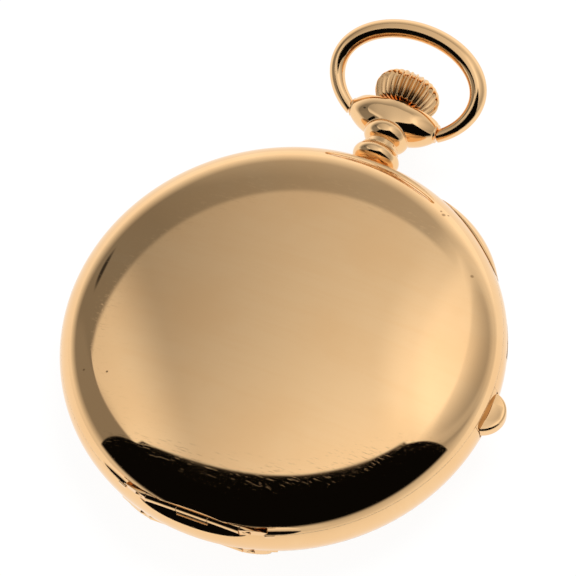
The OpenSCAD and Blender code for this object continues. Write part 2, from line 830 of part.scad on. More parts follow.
module winding_stem() {
  color(steel) at_equator() towards_pendant() {
    translate([0, 0, sliding_at - 2.6]) cylinder(r = 0.4, h = 1.6);
    translate([0, 0, sliding_at - 1.2]) intersection() {
      translate([-0.5, -0.5, 0]) cube([1, 1, 4.6]);
      cylinder(r = 0.62, h = 4.6);
    }
    translate([0, 0, winding_at + 0.6]) cylinder(r = 0.62, h = 3.8);
    translate([0, 0, groove_at - 0.1]) cylinder(r = 0.42, h = groove_w + 0.2);
    translate([0, 0, groove_at + groove_w]) cylinder(r = stem_r, h = crown_y + 1.9 - groove_at - groove_w);
    translate([0, 0, knop_y - 1.2]) cylinder(r = 1.1, h = 0.6);
  }
}

// Sleeve on the stem: the pressed crown drives it against the catch spring
module push_sleeve() {
  color(steel) at_equator() towards_pendant() translate([0, 0, case_r - 2.2]) difference() {
    cylinder(r = sleeve_r, h = knop_y - 1.4 - case_r + 2.2);
    translate([0, 0, -1]) cylinder(r = stem_r + run_gap, h = case_d);
  }
}

spring_out = bezel_seat_r - 0.3;

module cover_catch_spring() {
  color(steel) at_equator() difference() {
    union() {
      arc_ring(spring_out, spring_out - 0.55, spring_groove_floor + 0.15, plate_front - 0.4, 62, 150);
      rotate([0, 0, 66]) translate([spring_out - 0.6, -0.9, plate_front - 0.9])
        cube([0.6, 1.8, 0.5]);
    }
    towards_pendant() cylinder(r = stem_r + 0.25, h = case_d);
  }
}

module cover_lift_spring() {
  color(steel) at_equator()
    arc_ring(spring_out, spring_out - 0.55, spring_groove_floor + 0.15, plate_front - 0.4, 200, 292);
}

// Repeating slide: a crescent that hugs the band, with a tongue in the band's slot
slide_mid = 90 - slide_start - slide_span / 2;
slide_half_chord = case_r * sin(slide_span / 2);
slide_sag = case_r * (1 - cos(slide_span / 2)) + slide_proud;
slide_disc_r = (slide_half_chord * slide_half_chord + slide_sag * slide_sag) / (2 * slide_sag);

module repeating_slide() {
  color(gold) at_equator() {
    difference() {
      intersection() {
        rotate([0, 0, slide_mid]) translate([case_r + slide_proud - slide_disc_r, 0, -band + 0.1])
          cylinder(r = slide_disc_r, h = band_h - 0.2, $fn = 180);
        rotate_extrude($fn = 180) translate([rim_c + 0.35, 0]) circle(r = rim_r + 0.6, $fn = 128);
        rotate([0, 0, slide_mid]) translate([case_r / 2, -case_r / 2, -band])
          cube([case_r, case_r, band_h]);
      }
      rotate_extrude($fn = 180) union() {
        translate([rim_c, 0]) circle(r = rim_r + run_gap, $fn = 128);
        translate([0, -band - 1]) square([rim_c, band_h + 2]);
      }
    }
    arc_ring(case_r + 0.3, slide_tongue_in, -slide_slot_half, slide_slot_half,
      90 - slide_start - slide_span + 5.5, 90 - slide_start - 5.5);
  }
}

// Push-piece: a half-round tab, with a foot that joins it to its lower stem
pusher_drop = 1;
push_rise = 0.35;
tab_x = case_r - 0.25;
seat_x = tab_x - push_travel - 0.1;
seat_low = push_rise - push_h / 2 - 0.12;

// Flat seat cut in the band, so that the tab can move in
module pusher_seat() {
  seat_w = push_w + 3 * close_gap;
  foot_w = push_stem_d + 2 * close_gap;
  translate([seat_x, -seat_w / 2, seat_low]) cube([case_r, seat_w, band - seat_low + 1]);
  translate([seat_x, -foot_w / 2, -pusher_drop - foot_w / 2]) cube([case_r, foot_w, case_r / 10]);
}

module chronograph_pusher() {
  tab_l = case_r + push_proud - tab_x;
  tab_r = (push_w * push_w / 4 + tab_l * tab_l) / (2 * tab_l);
  stem_end = plate_r - 1.3;
  color(gold) at_equator() {
    difference() {
      intersection() {
        translate([tab_x + tab_l - tab_r, 0, push_rise - push_h / 2]) cylinder(r = tab_r, h = push_h);
        translate([tab_x, -push_w / 2, push_rise - push_h / 2]) cube([tab_l + 1, push_w, push_h]);
      }
      translate([tab_x + 0.3, 0, push_rise + push_h / 2 + 5.8]) sphere(r = 6);
    }
    translate([tab_x, -push_stem_d / 2, -pusher_drop - push_stem_d / 2])
      cube([push_stem_d / 2, push_stem_d, push_rise + pusher_drop]);
    rotate([0, 90, 0]) translate([pusher_drop, 0, stem_end])
      cylinder(r = push_stem_d / 2, h = tab_x + push_stem_d / 4 - stem_end);
  }
}

// Chronograph work, on the back of the bridges
chrono_low = bridge_back - 0.75;
lever_low = bridge_back - 0.38;
lever_high = bridge_back - 0.06;
post_r = 0.45;

module pusher_lever() {
  color(steel) at_equator() difference() {
    union() {
      translate([lever_pivot_at.x, lever_pivot_at.y, 0]) disc(1, lever_low, lever_high);
      linear_extrude_between(lever_low, lever_high) polygon([
        [lever_pivot_at.x - 0.6, lever_pivot_at.y - 0.7], [lever_pivot_at.x + 0.9, lever_pivot_at.y - 0.3],
        [plate_r - 1.5, -0.4], [plate_r - 2.3, -0.6]
      ]);
      linear_extrude_between(lever_low, lever_high) polygon([
        [lever_pivot_at.x - 0.9, lever_pivot_at.y - 0.5], [lever_pivot_at.x - 0.2, lever_pivot_at.y + 0.8],
        [column_at.x + 1.9, column_at.y + 0.35], [column_at.x + 1.9, column_at.y - 0.25]
      ]);
      linear_extrude_between(lever_low, -pusher_drop + 0.5)
        translate([plate_r - 2.3, -0.6]) square([0.8, 1.2]);
    }
    translate([lever_pivot_at.x, lever_pivot_at.y, 0]) disc(post_r + run_gap, -case_t, case_t);
  }
}

module linear_extrude_between(low, high) {
  translate([0, 0, low]) linear_extrude(high - low) children();
}

module column_wheel() {
  color(steel) at_equator() translate([column_at.x, column_at.y, 0]) difference() {
    union() {
      linear_extrude_between(bridge_back - 0.4, bridge_back - 0.08) polygon(saw_points(12, 1.7, 1.35, 4));
      disc(0.8, bridge_back - 0.4, bridge_back - 0.08);
      for (i = [0 : 5]) {
        rotate([0, 0, i * 60]) translate([1.1, 0, 0]) disc(0.22, bridge_back - 1, bridge_back - 0.3);
      }
    }
    disc(post_r + run_gap, -case_t, case_t);
  }
}

chrono_arbor_r = 0.2;

module chronograph_wheel() {
  color(steel) at_equator() {
    difference() {
      translate([0, 0, chrono_low - 0.25]) linear_extrude(0.22) polygon(tooth_points(90, 4.5, 4.3));
      translate([0, 0, chrono_low - 1]) linear_extrude(2) crossings(1, 3.8, 4, 0.5);
    }
    disc(0.55, chrono_low - 0.4, chrono_low + 0.3);
    disc(chrono_arbor_r, chrono_low - 0.4, chrono_hand_w + 0.05);
  }
}

// Hands, on the front
hour_hand_w = dial_front + 0.3;
minute_hand_w = hour_hand_w + 0.3;
chrono_hand_w = minute_hand_w + 0.3;
hand_t = 0.12;
hour_pipe_r = 1.15;
cannon_pipe_r = 0.85;
minute_hand_angle = 238;
hour_hand_angle = 122;
chrono_hand_angle = 180;
seconds_hand_angle = 180;

// Spade hand: tapered stem, leaf-shaped head and a hub with a bore
module spade_hand(length, hub_r, bore_r, leaf_w) {
  difference() {
    union() {
      circle(r = hub_r);
      polygon([[0, -0.42], [length * 0.62, -0.2], [length * 0.62, 0.2], [0, 0.42]]);
      intersection() {
        translate([length * 0.7, leaf_w * 1.1 - leaf_w / 2]) circle(r = leaf_w * 1.1);
        translate([length * 0.7, leaf_w / 2 - leaf_w * 1.1]) circle(r = leaf_w * 1.1);
      }
      polygon([[length * 0.66, -0.2], [length, -0.03], [length, 0.03], [length * 0.66, 0.2]]);
    }
    circle(r = bore_r);
  }
}

module hour_hand() {
  color("midnightblue") at_equator() rotate([0, 0, hour_hand_angle])
    linear_extrude_between(hour_hand_w, hour_hand_w + hand_t)
      spade_hand(hour_hand_l, 1.7, hour_pipe_r, 2.2);
}

module minute_hand() {
  color("midnightblue") at_equator() rotate([0, 0, minute_hand_angle])
    linear_extrude_between(minute_hand_w, minute_hand_w + hand_t)
      spade_hand(minute_hand_l, 1.35, cannon_pipe_r, 1.8);
}

module seconds_hand() {
  color("midnightblue") at_equator() translate([fourth_at.x, fourth_at.y, dial_front + 0.1])
    rotate([0, 0, seconds_hand_angle]) linear_extrude(hand_t) difference() {
      union() {
        circle(r = 0.5);
        polygon([[-1.5, -0.12], [3.9, -0.04], [3.9, 0.04], [-1.5, 0.12]]);
      }
      circle(r = 0.16);
    }
}

module chronograph_hand() {
  color("midnightblue") at_equator() rotate([0, 0, chrono_hand_angle])
    linear_extrude_between(chrono_hand_w, chrono_hand_w + hand_t) difference() {
      union() {
        circle(r = 0.9);
        polygon([[-5, -0.2], [chrono_hand_l, -0.04], [chrono_hand_l, 0.04], [-5, 0.2]]);
        translate([-5, 0]) circle(r = 0.7);
      }
      circle(r = chrono_arbor_r);
    }
}

// Enamel dial with a sunk seconds circle
module dial() {
  color("ivory") at_equator() difference() {
    disc(dial_d / 2, dial_back, dial_front);
    disc(hour_pipe_r + 0.25, -case_t, case_t);
    translate([fourth_at.x, fourth_at.y, 0]) {
      disc(4.4, dial_front - 0.22, case_t);
      disc(0.35, -case_t, case_t);
    }
  }
}

// Main plate with pockets for the motion work, the barrel and the keyless work
pocket_floor = plate_front - 0.95;

module arbor_hole(p, r) {
  translate([p.x, p.y, 0]) disc(r, -case_t, case_t);
}

module main_plate() {
  color(gilt) at_equator() for (a = [hour_hammer_angle, quarter_hammer_angle]) {
    p = hammer_pivot(a);
    translate([p.x, p.y, 0]) disc(post_r, bridge_front + 0.05, plate_back + 0.2);
  }
  color(gilt) at_equator() difference() {
    union() {
      disc(plate_r, plate_back, plate_front);
      disc(dial_ledge_r, plate_front - 0.7, plate_front);
    }
    disc(hour_teeth * minute_pinion_m / 2 + 0.5, pocket_floor, case_t);
    translate([minute_at.x, minute_at.y, 0]) disc(minute_teeth * motion_m / 2 + 0.5, pocket_floor, case_t);
    arbor_hole(centre_at, 0.75 + run_gap);
    for (p = concat(jewel_spots, pallet_jewel_spots)) {
      arbor_hole(p, jewel_d / 2 + 0.01);
    }
    arbor_hole(balance_at, jewel_d / 2 + 0.01);
    translate([barrel_at.x, barrel_at.y, 0]) {
      disc(great_teeth * great_m / 2 + 0.6, -case_t, plate_back + 0.3);
      disc(0.7 + run_gap, -case_t, plate_back + 1.4);
    }
    towards_pendant() translate([0, 0, sliding_at - 2.7 - crown_press]) cylinder(r = stem_r + 0.06, h = case_d);
    translate([-2.1, sliding_at - 1.6, -case_t]) cube([4.2, winding_at + 1.7 - sliding_at + 1.6, 2 * case_t]);
    translate([setting_at.x - 1.4, setting_at.y - 4, pocket_floor]) cube([2.8, 5.3, case_t]);
    translate([setting_at.x, setting_at.y - 1.4, pocket_floor]) cube([1 - setting_at.x, 3.7, case_t]);
    translate([-0.5, setting_at.y - 0.5, 0]) cube([1, 2.1, case_t]);
    translate([setting_at.x, setting_at.y, 0]) disc(0.35 + run_gap, 0, case_t);
    translate([plate_r - 2.6 - push_travel, -1.1, -case_t]) cube([4, 2.2, 2 * case_t]);
    for (p = bridge_screw_spots) {
      translate([p.x, p.y, 0]) disc(0.42, -case_t, plate_back + 1.3);
    }
    for (a = case_screw_angles) {
      rotate([0, 0, a]) translate([case_screw_at - 0.9, 0, 0]) disc(0.42, -case_t, plate_back + 1.3);
    }
  }
}

// Bridges: each is cut from the movement's round plan and stands on a foot at its edge
module bridge_plan(points) {
  intersection() {
    circle(r = plate_r - 0.6, $fn = 180);
    polygon(points);
  }
}

module bridge_foot(from, to) {
  arc_ring(plate_r - 0.7, plate_r - 2.7, bridge_front - 0.3, plate_back - 0.02, from, to);
}

module screw_holes() {
  for (p = bridge_screw_spots) {
    translate([p.x, p.y, 0]) disc(0.46, -case_t, case_t);
  }
}

module barrel_bridge() {
  color(brass) at_equator() difference() {
    union() {
      linear_extrude_between(bridge_back, bridge_front) bridge_plan([
        [2.2, -2.4], [2.2, 4.4], [8.6, 12], [8.6, 22], [-24, 22], [-24, -3.2], [-13, -5.2], [-2.4, -3.4]
      ]);
      bridge_foot(70, 82);
      bridge_foot(114, 132);
      bridge_foot(172, 189);
    }
    arbor_hole(centre_at, 0.75 + run_gap);
    arbor_hole(barrel_at, 1.3 + run_gap);
    arbor_hole(crown_wheel_at, 1.4 + run_gap);
    translate([third_at.x, third_at.y, 0]) disc(2.2, -case_t, case_t);
    translate([click_at.x, click_at.y, 0]) disc(0.35, -case_t, case_t);
    screw_holes();
  }
}

module train_bridge() {
  color(brass) at_equator() difference() {
    union() {
      linear_extrude_between(bridge_back, bridge_front) difference() {
        bridge_plan([
          [3.2, 4.3], [9.2, 11.6], [22, 12], [22, -8.4], [12.6, -6.4], [9.4, -5.6], [7.9, -5.2],
          [7.6, -3.4], [9, -0.6], [3.2, 0.9]
        ]);
        translate([balance_at.x, balance_at.y]) circle(r = balance_d / 2 + 0.35);
      }
      bridge_foot(18, 33);
      bridge_foot(-22, -11);
    }
    for (p = jewel_spots) {
      arbor_hole(p, jewel_d / 2 + 0.01);
    }
    disc(3.2, -case_t, case_t);
    translate([plate_r - 2.6 - push_travel, -1.1, -case_t]) cube([4, 2.2, 2 * case_t]);
    screw_holes();
  }
  color(brass) at_equator() for (p = [column_at, lever_pivot_at]) {
    translate([p.x, p.y, 0]) disc(post_r, bridge_back - 0.5, bridge_back + 0.2);
  }
}

module pallet_cock() {
  foot = along(pallet_at, -20, 3.1);
  color(brass) at_equator() difference() {
    union() {
      linear_extrude_between(-2.1, -1.75) hull() {
        translate([pallet_at.x, pallet_at.y]) circle(r = 1.05);
        translate([foot.x, foot.y]) circle(r = 0.9);
      }
      translate([foot.x, foot.y, 0]) disc(0.8, -2.1, plate_back - 0.02);
    }
    arbor_hole(pallet_at, jewel_d / 2 + 0.01);
  }
}

stud_angle = -52;

module balance_cock() {
  color(brass) at_equator() difference() {
    union() {
      linear_extrude_between(bridge_back, bridge_front - 0.2) {
        translate([balance_at.x, balance_at.y]) circle(r = 2.5);
        intersection() {
          circle(r = plate_r - 0.6, $fn = 180);
          polygon([
            [balance_at.x - 1.9, balance_at.y + 0.6], [balance_at.x + 1.9, balance_at.y + 1.6],
            [15.6, -13.2], [12.6, -18.6], [6.2, -21.6], [4.6, -21.6]
          ]);
        }
      }
      translate([balance_at.x, balance_at.y, 0]) rotate([0, 0, stud_angle])
        translate([hairspring_d / 2 + 0.3, 0, 0]) disc(0.24, bridge_front - 0.4, bridge_front + 0.02);
      intersection() {
        bridge_foot(-66, -44);
        difference() {
          disc(plate_r, -case_t, case_t);
          translate([balance_at.x, balance_at.y, 0]) disc(balance_d / 2 + 0.3, -case_t, case_t);
        }
      }
    }
    arbor_hole(balance_at, jewel_d / 2 + 0.01);
    screw_holes();
  }
}

// Barrel with its toothed rim, arbor and spring
great_pitch_r = great_teeth * great_m / 2;
barrel_low = bridge_front + 0.12;
barrel_high = -1.42;

module barrel_drum() {
  color(brass) at_equator() translate([barrel_at.x, barrel_at.y, 0]) difference() {
    union() {
      toothed(great_teeth, great_m, barrel_high - 0.32, barrel_high, barrel_angle + 180);
      disc(great_pitch_r - 0.45, barrel_low, barrel_high);
    }
    disc(great_pitch_r - 0.75, barrel_low + 0.18, barrel_high - 0.2);
    disc(0.8 + run_gap, -case_t, case_t);
  }
}

module barrel_arbor() {
  color(steel) at_equator() translate([barrel_at.x, barrel_at.y, 0]) {
    disc(1.6, barrel_low + 0.22, barrel_high - 0.24);
    disc(0.8, bridge_front - 0.1, barrel_high + 0.1);
    disc(1.3, bridge_back - 0.02, bridge_front + 0.02);
    disc(0.7, barrel_high + 0.1, plate_back + 1.3);
    translate([-0.75, -0.75, bridge_back - 0.55]) cube([1.5, 1.5, 0.6]);
  }
}

// Flat spiral band, one unbroken strip of four-sided section
module flat_spiral(r_in, r_out, turns, strip_w, low, high, per_turn) {
  steps = turns * per_turn;
  points = [
    for (i = [0 : steps], c = [[-1, low], [1, low], [1, high], [-1, high]])
      let (a = i * 360 / per_turn, r = r_in + (r_out - r_in) * i / steps + c[0] * strip_w / 2)
        [r * cos(a), r * sin(a), c[1]]
  ];
  walls = [
    for (i = [0 : steps - 1], j = [0 : 3])
      let (k = (j + 1) % 4, a = 4 * i, b = 4 * (i + 1))
        each [[a + j, b + k, b + j], [a + j, a + k, b + k]]
  ];
  ends = [[3, 2, 1, 0], [4 * steps, 4 * steps + 1, 4 * steps + 2, 4 * steps + 3]];
  polyhedron(points = points, faces = concat(walls, ends), convexity = 2 * turns);
}

module mainspring() {
  color(steel) at_equator() translate([barrel_at.x, barrel_at.y, 0])
    flat_spiral(1.8, great_pitch_r - 0.9, mainspring_turns, 0.14, barrel_low + 0.24, barrel_high - 0.26, 24);
}

module hairspring() {
  gap = (hairspring_d / 2 - 0.75) / hairspring_turns;
  echo(hairspring_gap = gap - 0.07);
  color("slateblue") at_equator() translate([balance_at.x, balance_at.y, 0])
    rotate([0, 0, stud_angle])
      flat_spiral(0.75, hairspring_d / 2, hairspring_turns, 0.07, -2.9, -2.72, 24);
}

module centre_wheel() {
  color(brass) at_equator() difference() {
    union() {
      crossed_wheel(centre_teeth, centre_m, -1.25, -1, heading(centre_at, third_at), 5);
      toothed(centre_pinion_teeth, great_m, barrel_high - 0.5, -1.25,
        barrel_angle + 180 / centre_pinion_teeth);
      disc(0.55, barrel_high - 0.6, -1);
      disc(0.75, bridge_back + 0.05, barrel_high - 0.5);
      disc(0.75, -1, pocket_floor - 0.02);
      disc(0.45, pocket_floor - 0.02, minute_hand_w + 0.1);
    }
    disc(chrono_arbor_r + run_gap, -case_t, case_t);
  }
}

module third_wheel() {
  color(brass) at_equator() translate([third_at.x, third_at.y, 0]) {
    crossed_wheel(third_teeth, third_m, -2.6, -2.36, heading(third_at, fourth_at), 5);
    toothed(third_pinion_teeth, centre_m, -1.35, -0.93,
      heading(third_at, centre_at) + 180 / third_pinion_teeth);
    staff(0.35, -2.65, -0.95, bridge_front - 0.4, plate_back + 0.4);
  }
}

module fourth_wheel() {
  color(brass) at_equator() translate([fourth_at.x, fourth_at.y, 0]) {
    crossed_wheel(fourth_teeth, fourth_m, -1.8, -1.56, heading(fourth_at, escape_at), 5);
    toothed(fourth_pinion_teeth, third_m, -2.68, -2.28,
      heading(fourth_at, third_at) + 180 / fourth_pinion_teeth);
    staff(0.3, -2.68, -0.93, bridge_front - 0.4, dial_front + 0.25);
  }
}

module escape_wheel() {
  color(steel) at_equator() translate([escape_at.x, escape_at.y, 0]) {
    difference() {
      linear_extrude_between(-1.35, -1.15)
        rotate([0, 0, lever_angle + 8]) polygon(saw_points(escape_teeth, 2.6, 1.95, 2.6));
      translate([0, 0, -2]) linear_extrude(1.5) crossings(0.75, 1.6, 4, 0.32);
    }
    toothed(escape_pinion_teeth, fourth_m, -1.9, -1.42,
      heading(escape_at, fourth_at) + 180 / escape_pinion_teeth);
    staff(0.26, -2.68, -0.93, bridge_front - 0.4, plate_back + 0.4);
  }
}

// Pallet fork: two arms with stones that reach the escape wheel, and a forked tail
module pallet_fork() {
  color(steel) at_equator() translate([pallet_at.x, pallet_at.y, 0]) rotate([0, 0, lever_angle]) {
    linear_extrude_between(-1.4, -1.15) {
      polygon([[-0.5, -0.25], [3.5, -0.16], [3.5, 0.16], [-0.5, 0.25]]);
      polygon([[-0.2, 0.3], [-0.75, 1.95], [-1.15, 1.95], [-0.75, 0.3], [-0.75, -0.3], [-1.15, -1.95],
        [-0.75, -1.95], [-0.2, -0.3]]);
      for (side = [-1, 1]) {
        polygon([[3.2, side * 0.08], [3.4, side * 0.5], [4.25, side * 0.5], [4.25, side * 0.3],
          [3.6, side * 0.24]]);
      }
    }
    staff(0.25, -1.6, -0.95, -2.08, plate_back + 0.4);
  }
}

module balance_wheel() {
  rim = balance_d / 2;
  color(gold) at_equator() translate([balance_at.x, balance_at.y, 0]) {
    linear_extrude_between(-2.62, -2.25) difference() {
      circle(r = rim, $fn = 128);
      circle(r = rim - 0.8, $fn = 128);
    }
    linear_extrude_between(-2.55, -2.3) {
      rotate([0, 0, 20]) translate([-rim + 0.4, -0.45]) square([2 * rim - 0.8, 0.9]);
      circle(r = 1);
    }
    for (i = [0 : 13]) {
      rotate([0, 0, i * 180 / 7]) translate([rim - 0.15, 0, -2.435]) rotate([0, 90, 0])
        cylinder(r = 0.17, h = 0.4);
    }
    disc(0.45, -2.95, -2.2);
    disc(0.68, -2.92, -2.68);
    disc(0.3, -2.2, -0.95);
    disc(0.62, -1.7, -1.5);
    rotate([0, 0, lever_angle + 180]) translate([0.47, 0, -1.5]) disc(0.1, -0.05, 0.32);
    disc(pivot_d / 2, bridge_front - 0.55, plate_back + 0.45);
  }
}

// Regulator: a ring round the balance jewel with a long index
module regulator() {
  color(steel) at_equator() translate([balance_at.x, balance_at.y, 0]) difference() {
    linear_extrude_between(bridge_back - 0.25, bridge_back - 0.02) difference() {
      union() {
        circle(r = 1.5);
        rotate([0, 0, -62]) polygon([[0, -0.45], [5.4, -0.12], [5.4, 0.12], [0, 0.45]]);
        rotate([0, 0, 118]) polygon([[0, -0.5], [2.3, -0.3], [2.3, 0.3], [0, 0.5]]);
      }
      circle(r = 0.85);
    }
  }
}

// Motion work, in the front pocket of the main plate
motion_low = pocket_floor + 0.05;

module cannon_pinion() {
  color(steel) at_equator() difference() {
    union() {
      toothed(cannon_teeth, motion_m, motion_low, motion_low + 0.32, minute_angle);
      disc(cannon_pipe_r - run_gap, motion_low, minute_hand_w + hand_t);
    }
    disc(0.45 + 0.01, -case_t, case_t);
  }
}

module minute_wheel() {
  color(brass) at_equator() translate([minute_at.x, minute_at.y, 0]) {
    toothed(minute_teeth, motion_m, motion_low, motion_low + 0.3, minute_angle + 180 + 180 / minute_teeth);
    toothed(minute_pinion_teeth, minute_pinion_m, motion_low + 0.3, motion_low + 0.82, minute_angle + 180);
  }
}

module hour_wheel() {
  color(brass) at_equator() difference() {
    union() {
      toothed(hour_teeth, minute_pinion_m, motion_low + 0.48, motion_low + 0.78,
        minute_angle + 180 / hour_teeth);
      disc(hour_pipe_r - run_gap, motion_low + 0.48, hour_hand_w + hand_t);
    }
    disc(cannon_pipe_r + run_gap, -case_t, case_t);
  }
}

// Keyless work: winding, setting and the click

module winding_pinion() {
  color(steel) at_equator() towards_pendant() difference() {
    union() {
      toothed(winding_teeth, winding_m, winding_at, winding_at + winding_l, 0);
      disc(1, winding_at - 0.25, winding_at);
    }
    disc(0.62 + run_gap, -case_d, case_d);
  }
}

module sliding_pinion() {
  color(steel) at_equator() towards_pendant() difference() {
    union() {
      disc(1, sliding_at, sliding_at + 2.05);
      toothed(12, 0.17, sliding_at - 0.5, sliding_at + 0.35, 0);
    }
    ring(1.2, 0.75, sliding_at + 0.8, sliding_at + 1.25);
    translate([-0.55, -0.55, sliding_at - 2]) cube([1.1, 1.1, 5]);
  }
}

module setting_lever() {
  color(steel) at_equator() {
    linear_extrude_between(pocket_floor + 0.06, pocket_floor + 0.4) {
      translate([setting_at.x, setting_at.y]) circle(r = 0.8);
      polygon([
        [setting_at.x, setting_at.y + 0.7], [setting_at.x - 0.2, setting_at.y - 0.7],
        [0.3, setting_at.y + 0.1], [0.35, setting_at.y + 0.7], [-0.2, setting_at.y + 0.9]
      ]);
      polygon([
        [setting_at.x - 0.7, setting_at.y], [setting_at.x - 0.3, setting_at.y - 3.2],
        [setting_at.x + 0.3, setting_at.y - 3.2], [setting_at.x + 0.7, setting_at.y]
      ]);
    }
    translate([0, setting_at.y + 0.5, 0]) disc(0.24, 0.48, pocket_floor + 0.1);
    translate([setting_at.x, setting_at.y, 0]) disc(0.35, pocket_floor - 0.5, pocket_floor + 0.1);
  }
}

module crown_wheel() {
  color(steel) at_equator() translate([crown_wheel_at.x, crown_wheel_at.y, 0]) difference() {
    union() {
      toothed(crown_wheel_teeth, ratchet_m, bridge_back - 0.5, bridge_back - 0.05,
        crown_wheel_angle + 180 + 180 / crown_wheel_teeth);
      disc(1.4, bridge_back - 0.1, bridge_front + 0.1);
      disc(contrate_r + 0.35, bridge_front + 0.08, 0.1 - winding_tip - 0.4);
      for (i = [0 : crown_contrate_teeth - 1]) {
        rotate([0, 0, 90 + (i + 0.5) * 360 / crown_contrate_teeth])
          translate([contrate_r - 0.4, -0.09, -winding_tip - 0.4]) cube([0.75, 0.18, 0.5]);
      }
    }
    disc(0.5, bridge_back - 1, bridge_back + 0.2);
  }
}

module ratchet_wheel() {
  color(steel) at_equator() translate([barrel_at.x, barrel_at.y, 0]) difference() {
    toothed(ratchet_teeth, ratchet_m, bridge_back - 0.5, bridge_back - 0.05, crown_wheel_angle);
    translate([-0.77, -0.77, -case_t]) cube([1.54, 1.54, 2 * case_t]);
  }
}

click_tip = 1.5;

module click() {
  towards = heading(click_at, barrel_at);
  color(steel) at_equator() translate([click_at.x, click_at.y, 0]) {
    linear_extrude_between(bridge_back - 0.45, bridge_back - 0.06) {
      circle(r = 0.8);
      rotate([0, 0, towards + 55]) polygon([[0, -0.7], [2, -0.3], [2.2, 0.15], [0, 0.7]]);
    }
    disc(0.3, bridge_back - 0.45, bridge_back + 0.7);
  }
}

module click_spring() {
  color(steel) at_equator()
    linear_extrude_between(bridge_back - 0.35, bridge_back - 0.06) {
      translate([click_at.x - 4.1, click_at.y + 5]) circle(r = 0.75);
      polygon([
        [click_at.x - 4.5, click_at.y + 5], [click_at.x - 1.5, click_at.y + 0.4],
        [click_at.x - 1.3, click_at.y + 0.6], [click_at.x - 3.9, click_at.y + 5]
      ]);
    }
}

// Two gongs round the movement, each on its own foot
gong_foot_angle = 327;
gong_levels = [-1.85, -2.45];

module gongs() {
  color(steel) at_equator() for (i = [0, 1]) {
    translate([0, 0, gong_levels[i]]) rotate([0, 0, gong_foot_angle + 3])
      rotate_extrude(angle = 318 - 10 * i, $fn = 180)
        translate([gong_r, 0]) circle(r = gong_d / 2, $fn = 24);
    rotate([0, 0, gong_foot_angle]) translate([plate_r - 1.4, -0.9 - 0.02, gong_levels[i] - 0.28])
      difference() {
        cube([2.7, 2.4, i == 0 ? plate_back - 0.3 - gong_levels[0] + 0.56 : 0.56]);
        translate([0.6, 1.2, -1]) cylinder(r = 0.3, h = 3);
        translate([1.3, -1, 0.56]) cube([3, 5, 3]);
      }
  }
}

// Hammer: pivot boss, arm and heavy head that strikes its gong
function hammer_pivot(angle) = along([0, 0], angle, plate_r - 4.9);

module hammer(angle, low, high) {
  pivot = hammer_pivot(angle);
  color(steel) at_equator() translate([pivot.x, pivot.y, 0]) rotate([0, 0, angle]) {
    difference() {
      linear_extrude_between(low, high) {
        circle(r = 1);
        polygon([[-0.6, 0], [0.6, -0.9], [4.3, -3.7], [5, -2.6], [4.4, -1.6], [3, -0.9], [0.8, 0.7]]);
      }
      disc(post_r + run_gap, -case_t, case_t);
    }
  }
}

module hour_hammer() {
  hammer(hour_hammer_angle, -2.65, -1.1);
}

module quarter_hammer() {
  hammer(quarter_hammer_angle, -2.65, -1.1);
}

// Pierced jewels, pressed into the main plate, the bridges and the cocks
module jewel(p, low, high) {
  translate([p.x, p.y, 0]) ring(jewel_d / 2, pivot_d / 2 + run_gap, low, high);
}

module jewels() {
  color(ruby) at_equator() {
    for (p = [third_at, escape_at, pallet_at, balance_at]) {
      jewel(p, plate_back + 0.02, plate_back + 0.5);
    }
    for (p = jewel_spots) {
      jewel(p, bridge_front - 0.5, bridge_front - 0.02);
    }
    jewel(pallet_at, -2.1, -1.77);
    jewel(balance_at, bridge_back + 0.05, bridge_front - 0.25);
  }
}

module screw(p, head_low, head_high, shank_high, head_r) {
  translate([p.x, p.y, 0]) difference() {
    union() {
      disc(head_r, head_low, head_high);
      disc(0.4, head_low, shank_high);
    }
    translate([-head_r - 1, -0.11, head_low - 1]) cube([2 * head_r + 2, 0.22, 1.15]);
  }
}

module bridge_screws() {
  color("midnightblue") at_equator() for (p = bridge_screw_spots) {
    screw(p, bridge_back - 0.45, bridge_back - 0.01, plate_back + 1.2, 0.95);
  }
}

module case_screws() {
  color("midnightblue") at_equator() for (a = case_screw_angles) {
    rotate([0, 0, a]) screw([case_screw_at - 0.9, 0], plate_back - 0.5, plate_back - 0.01, plate_back + 1.2, 1.6);
  }
}

case_middle();
front_cover();
back_cover();
dust_cover();
front_hinge_pin();
back_hinge_pin();
dust_cover_hinge_pin();
bezel();
glass();
pendant();
bow();
crown();
winding_stem();
push_sleeve();
cover_catch_spring();
cover_lift_spring();
repeating_slide();
chronograph_pusher();
pusher_lever();
column_wheel();
chronograph_wheel();
dial();
hour_hand();
minute_hand();
seconds_hand();
chronograph_hand();
main_plate();
barrel_bridge();
train_bridge();
pallet_cock();
balance_cock();
barrel_drum();
barrel_arbor();
mainspring();
centre_wheel();
third_wheel();
fourth_wheel();
escape_wheel();
pallet_fork();
balance_wheel();
hairspring();
regulator();
cannon_pinion();
minute_wheel();
hour_wheel();
winding_pinion();
sliding_pinion();
setting_lever();
crown_wheel();
ratchet_wheel();
click();
click_spring();
gongs();
hour_hammer();
quarter_hammer();
jewels();
bridge_screws();
case_screws();
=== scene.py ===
import json
import math

import bmesh
import bpy
from mathutils import Matrix, Vector


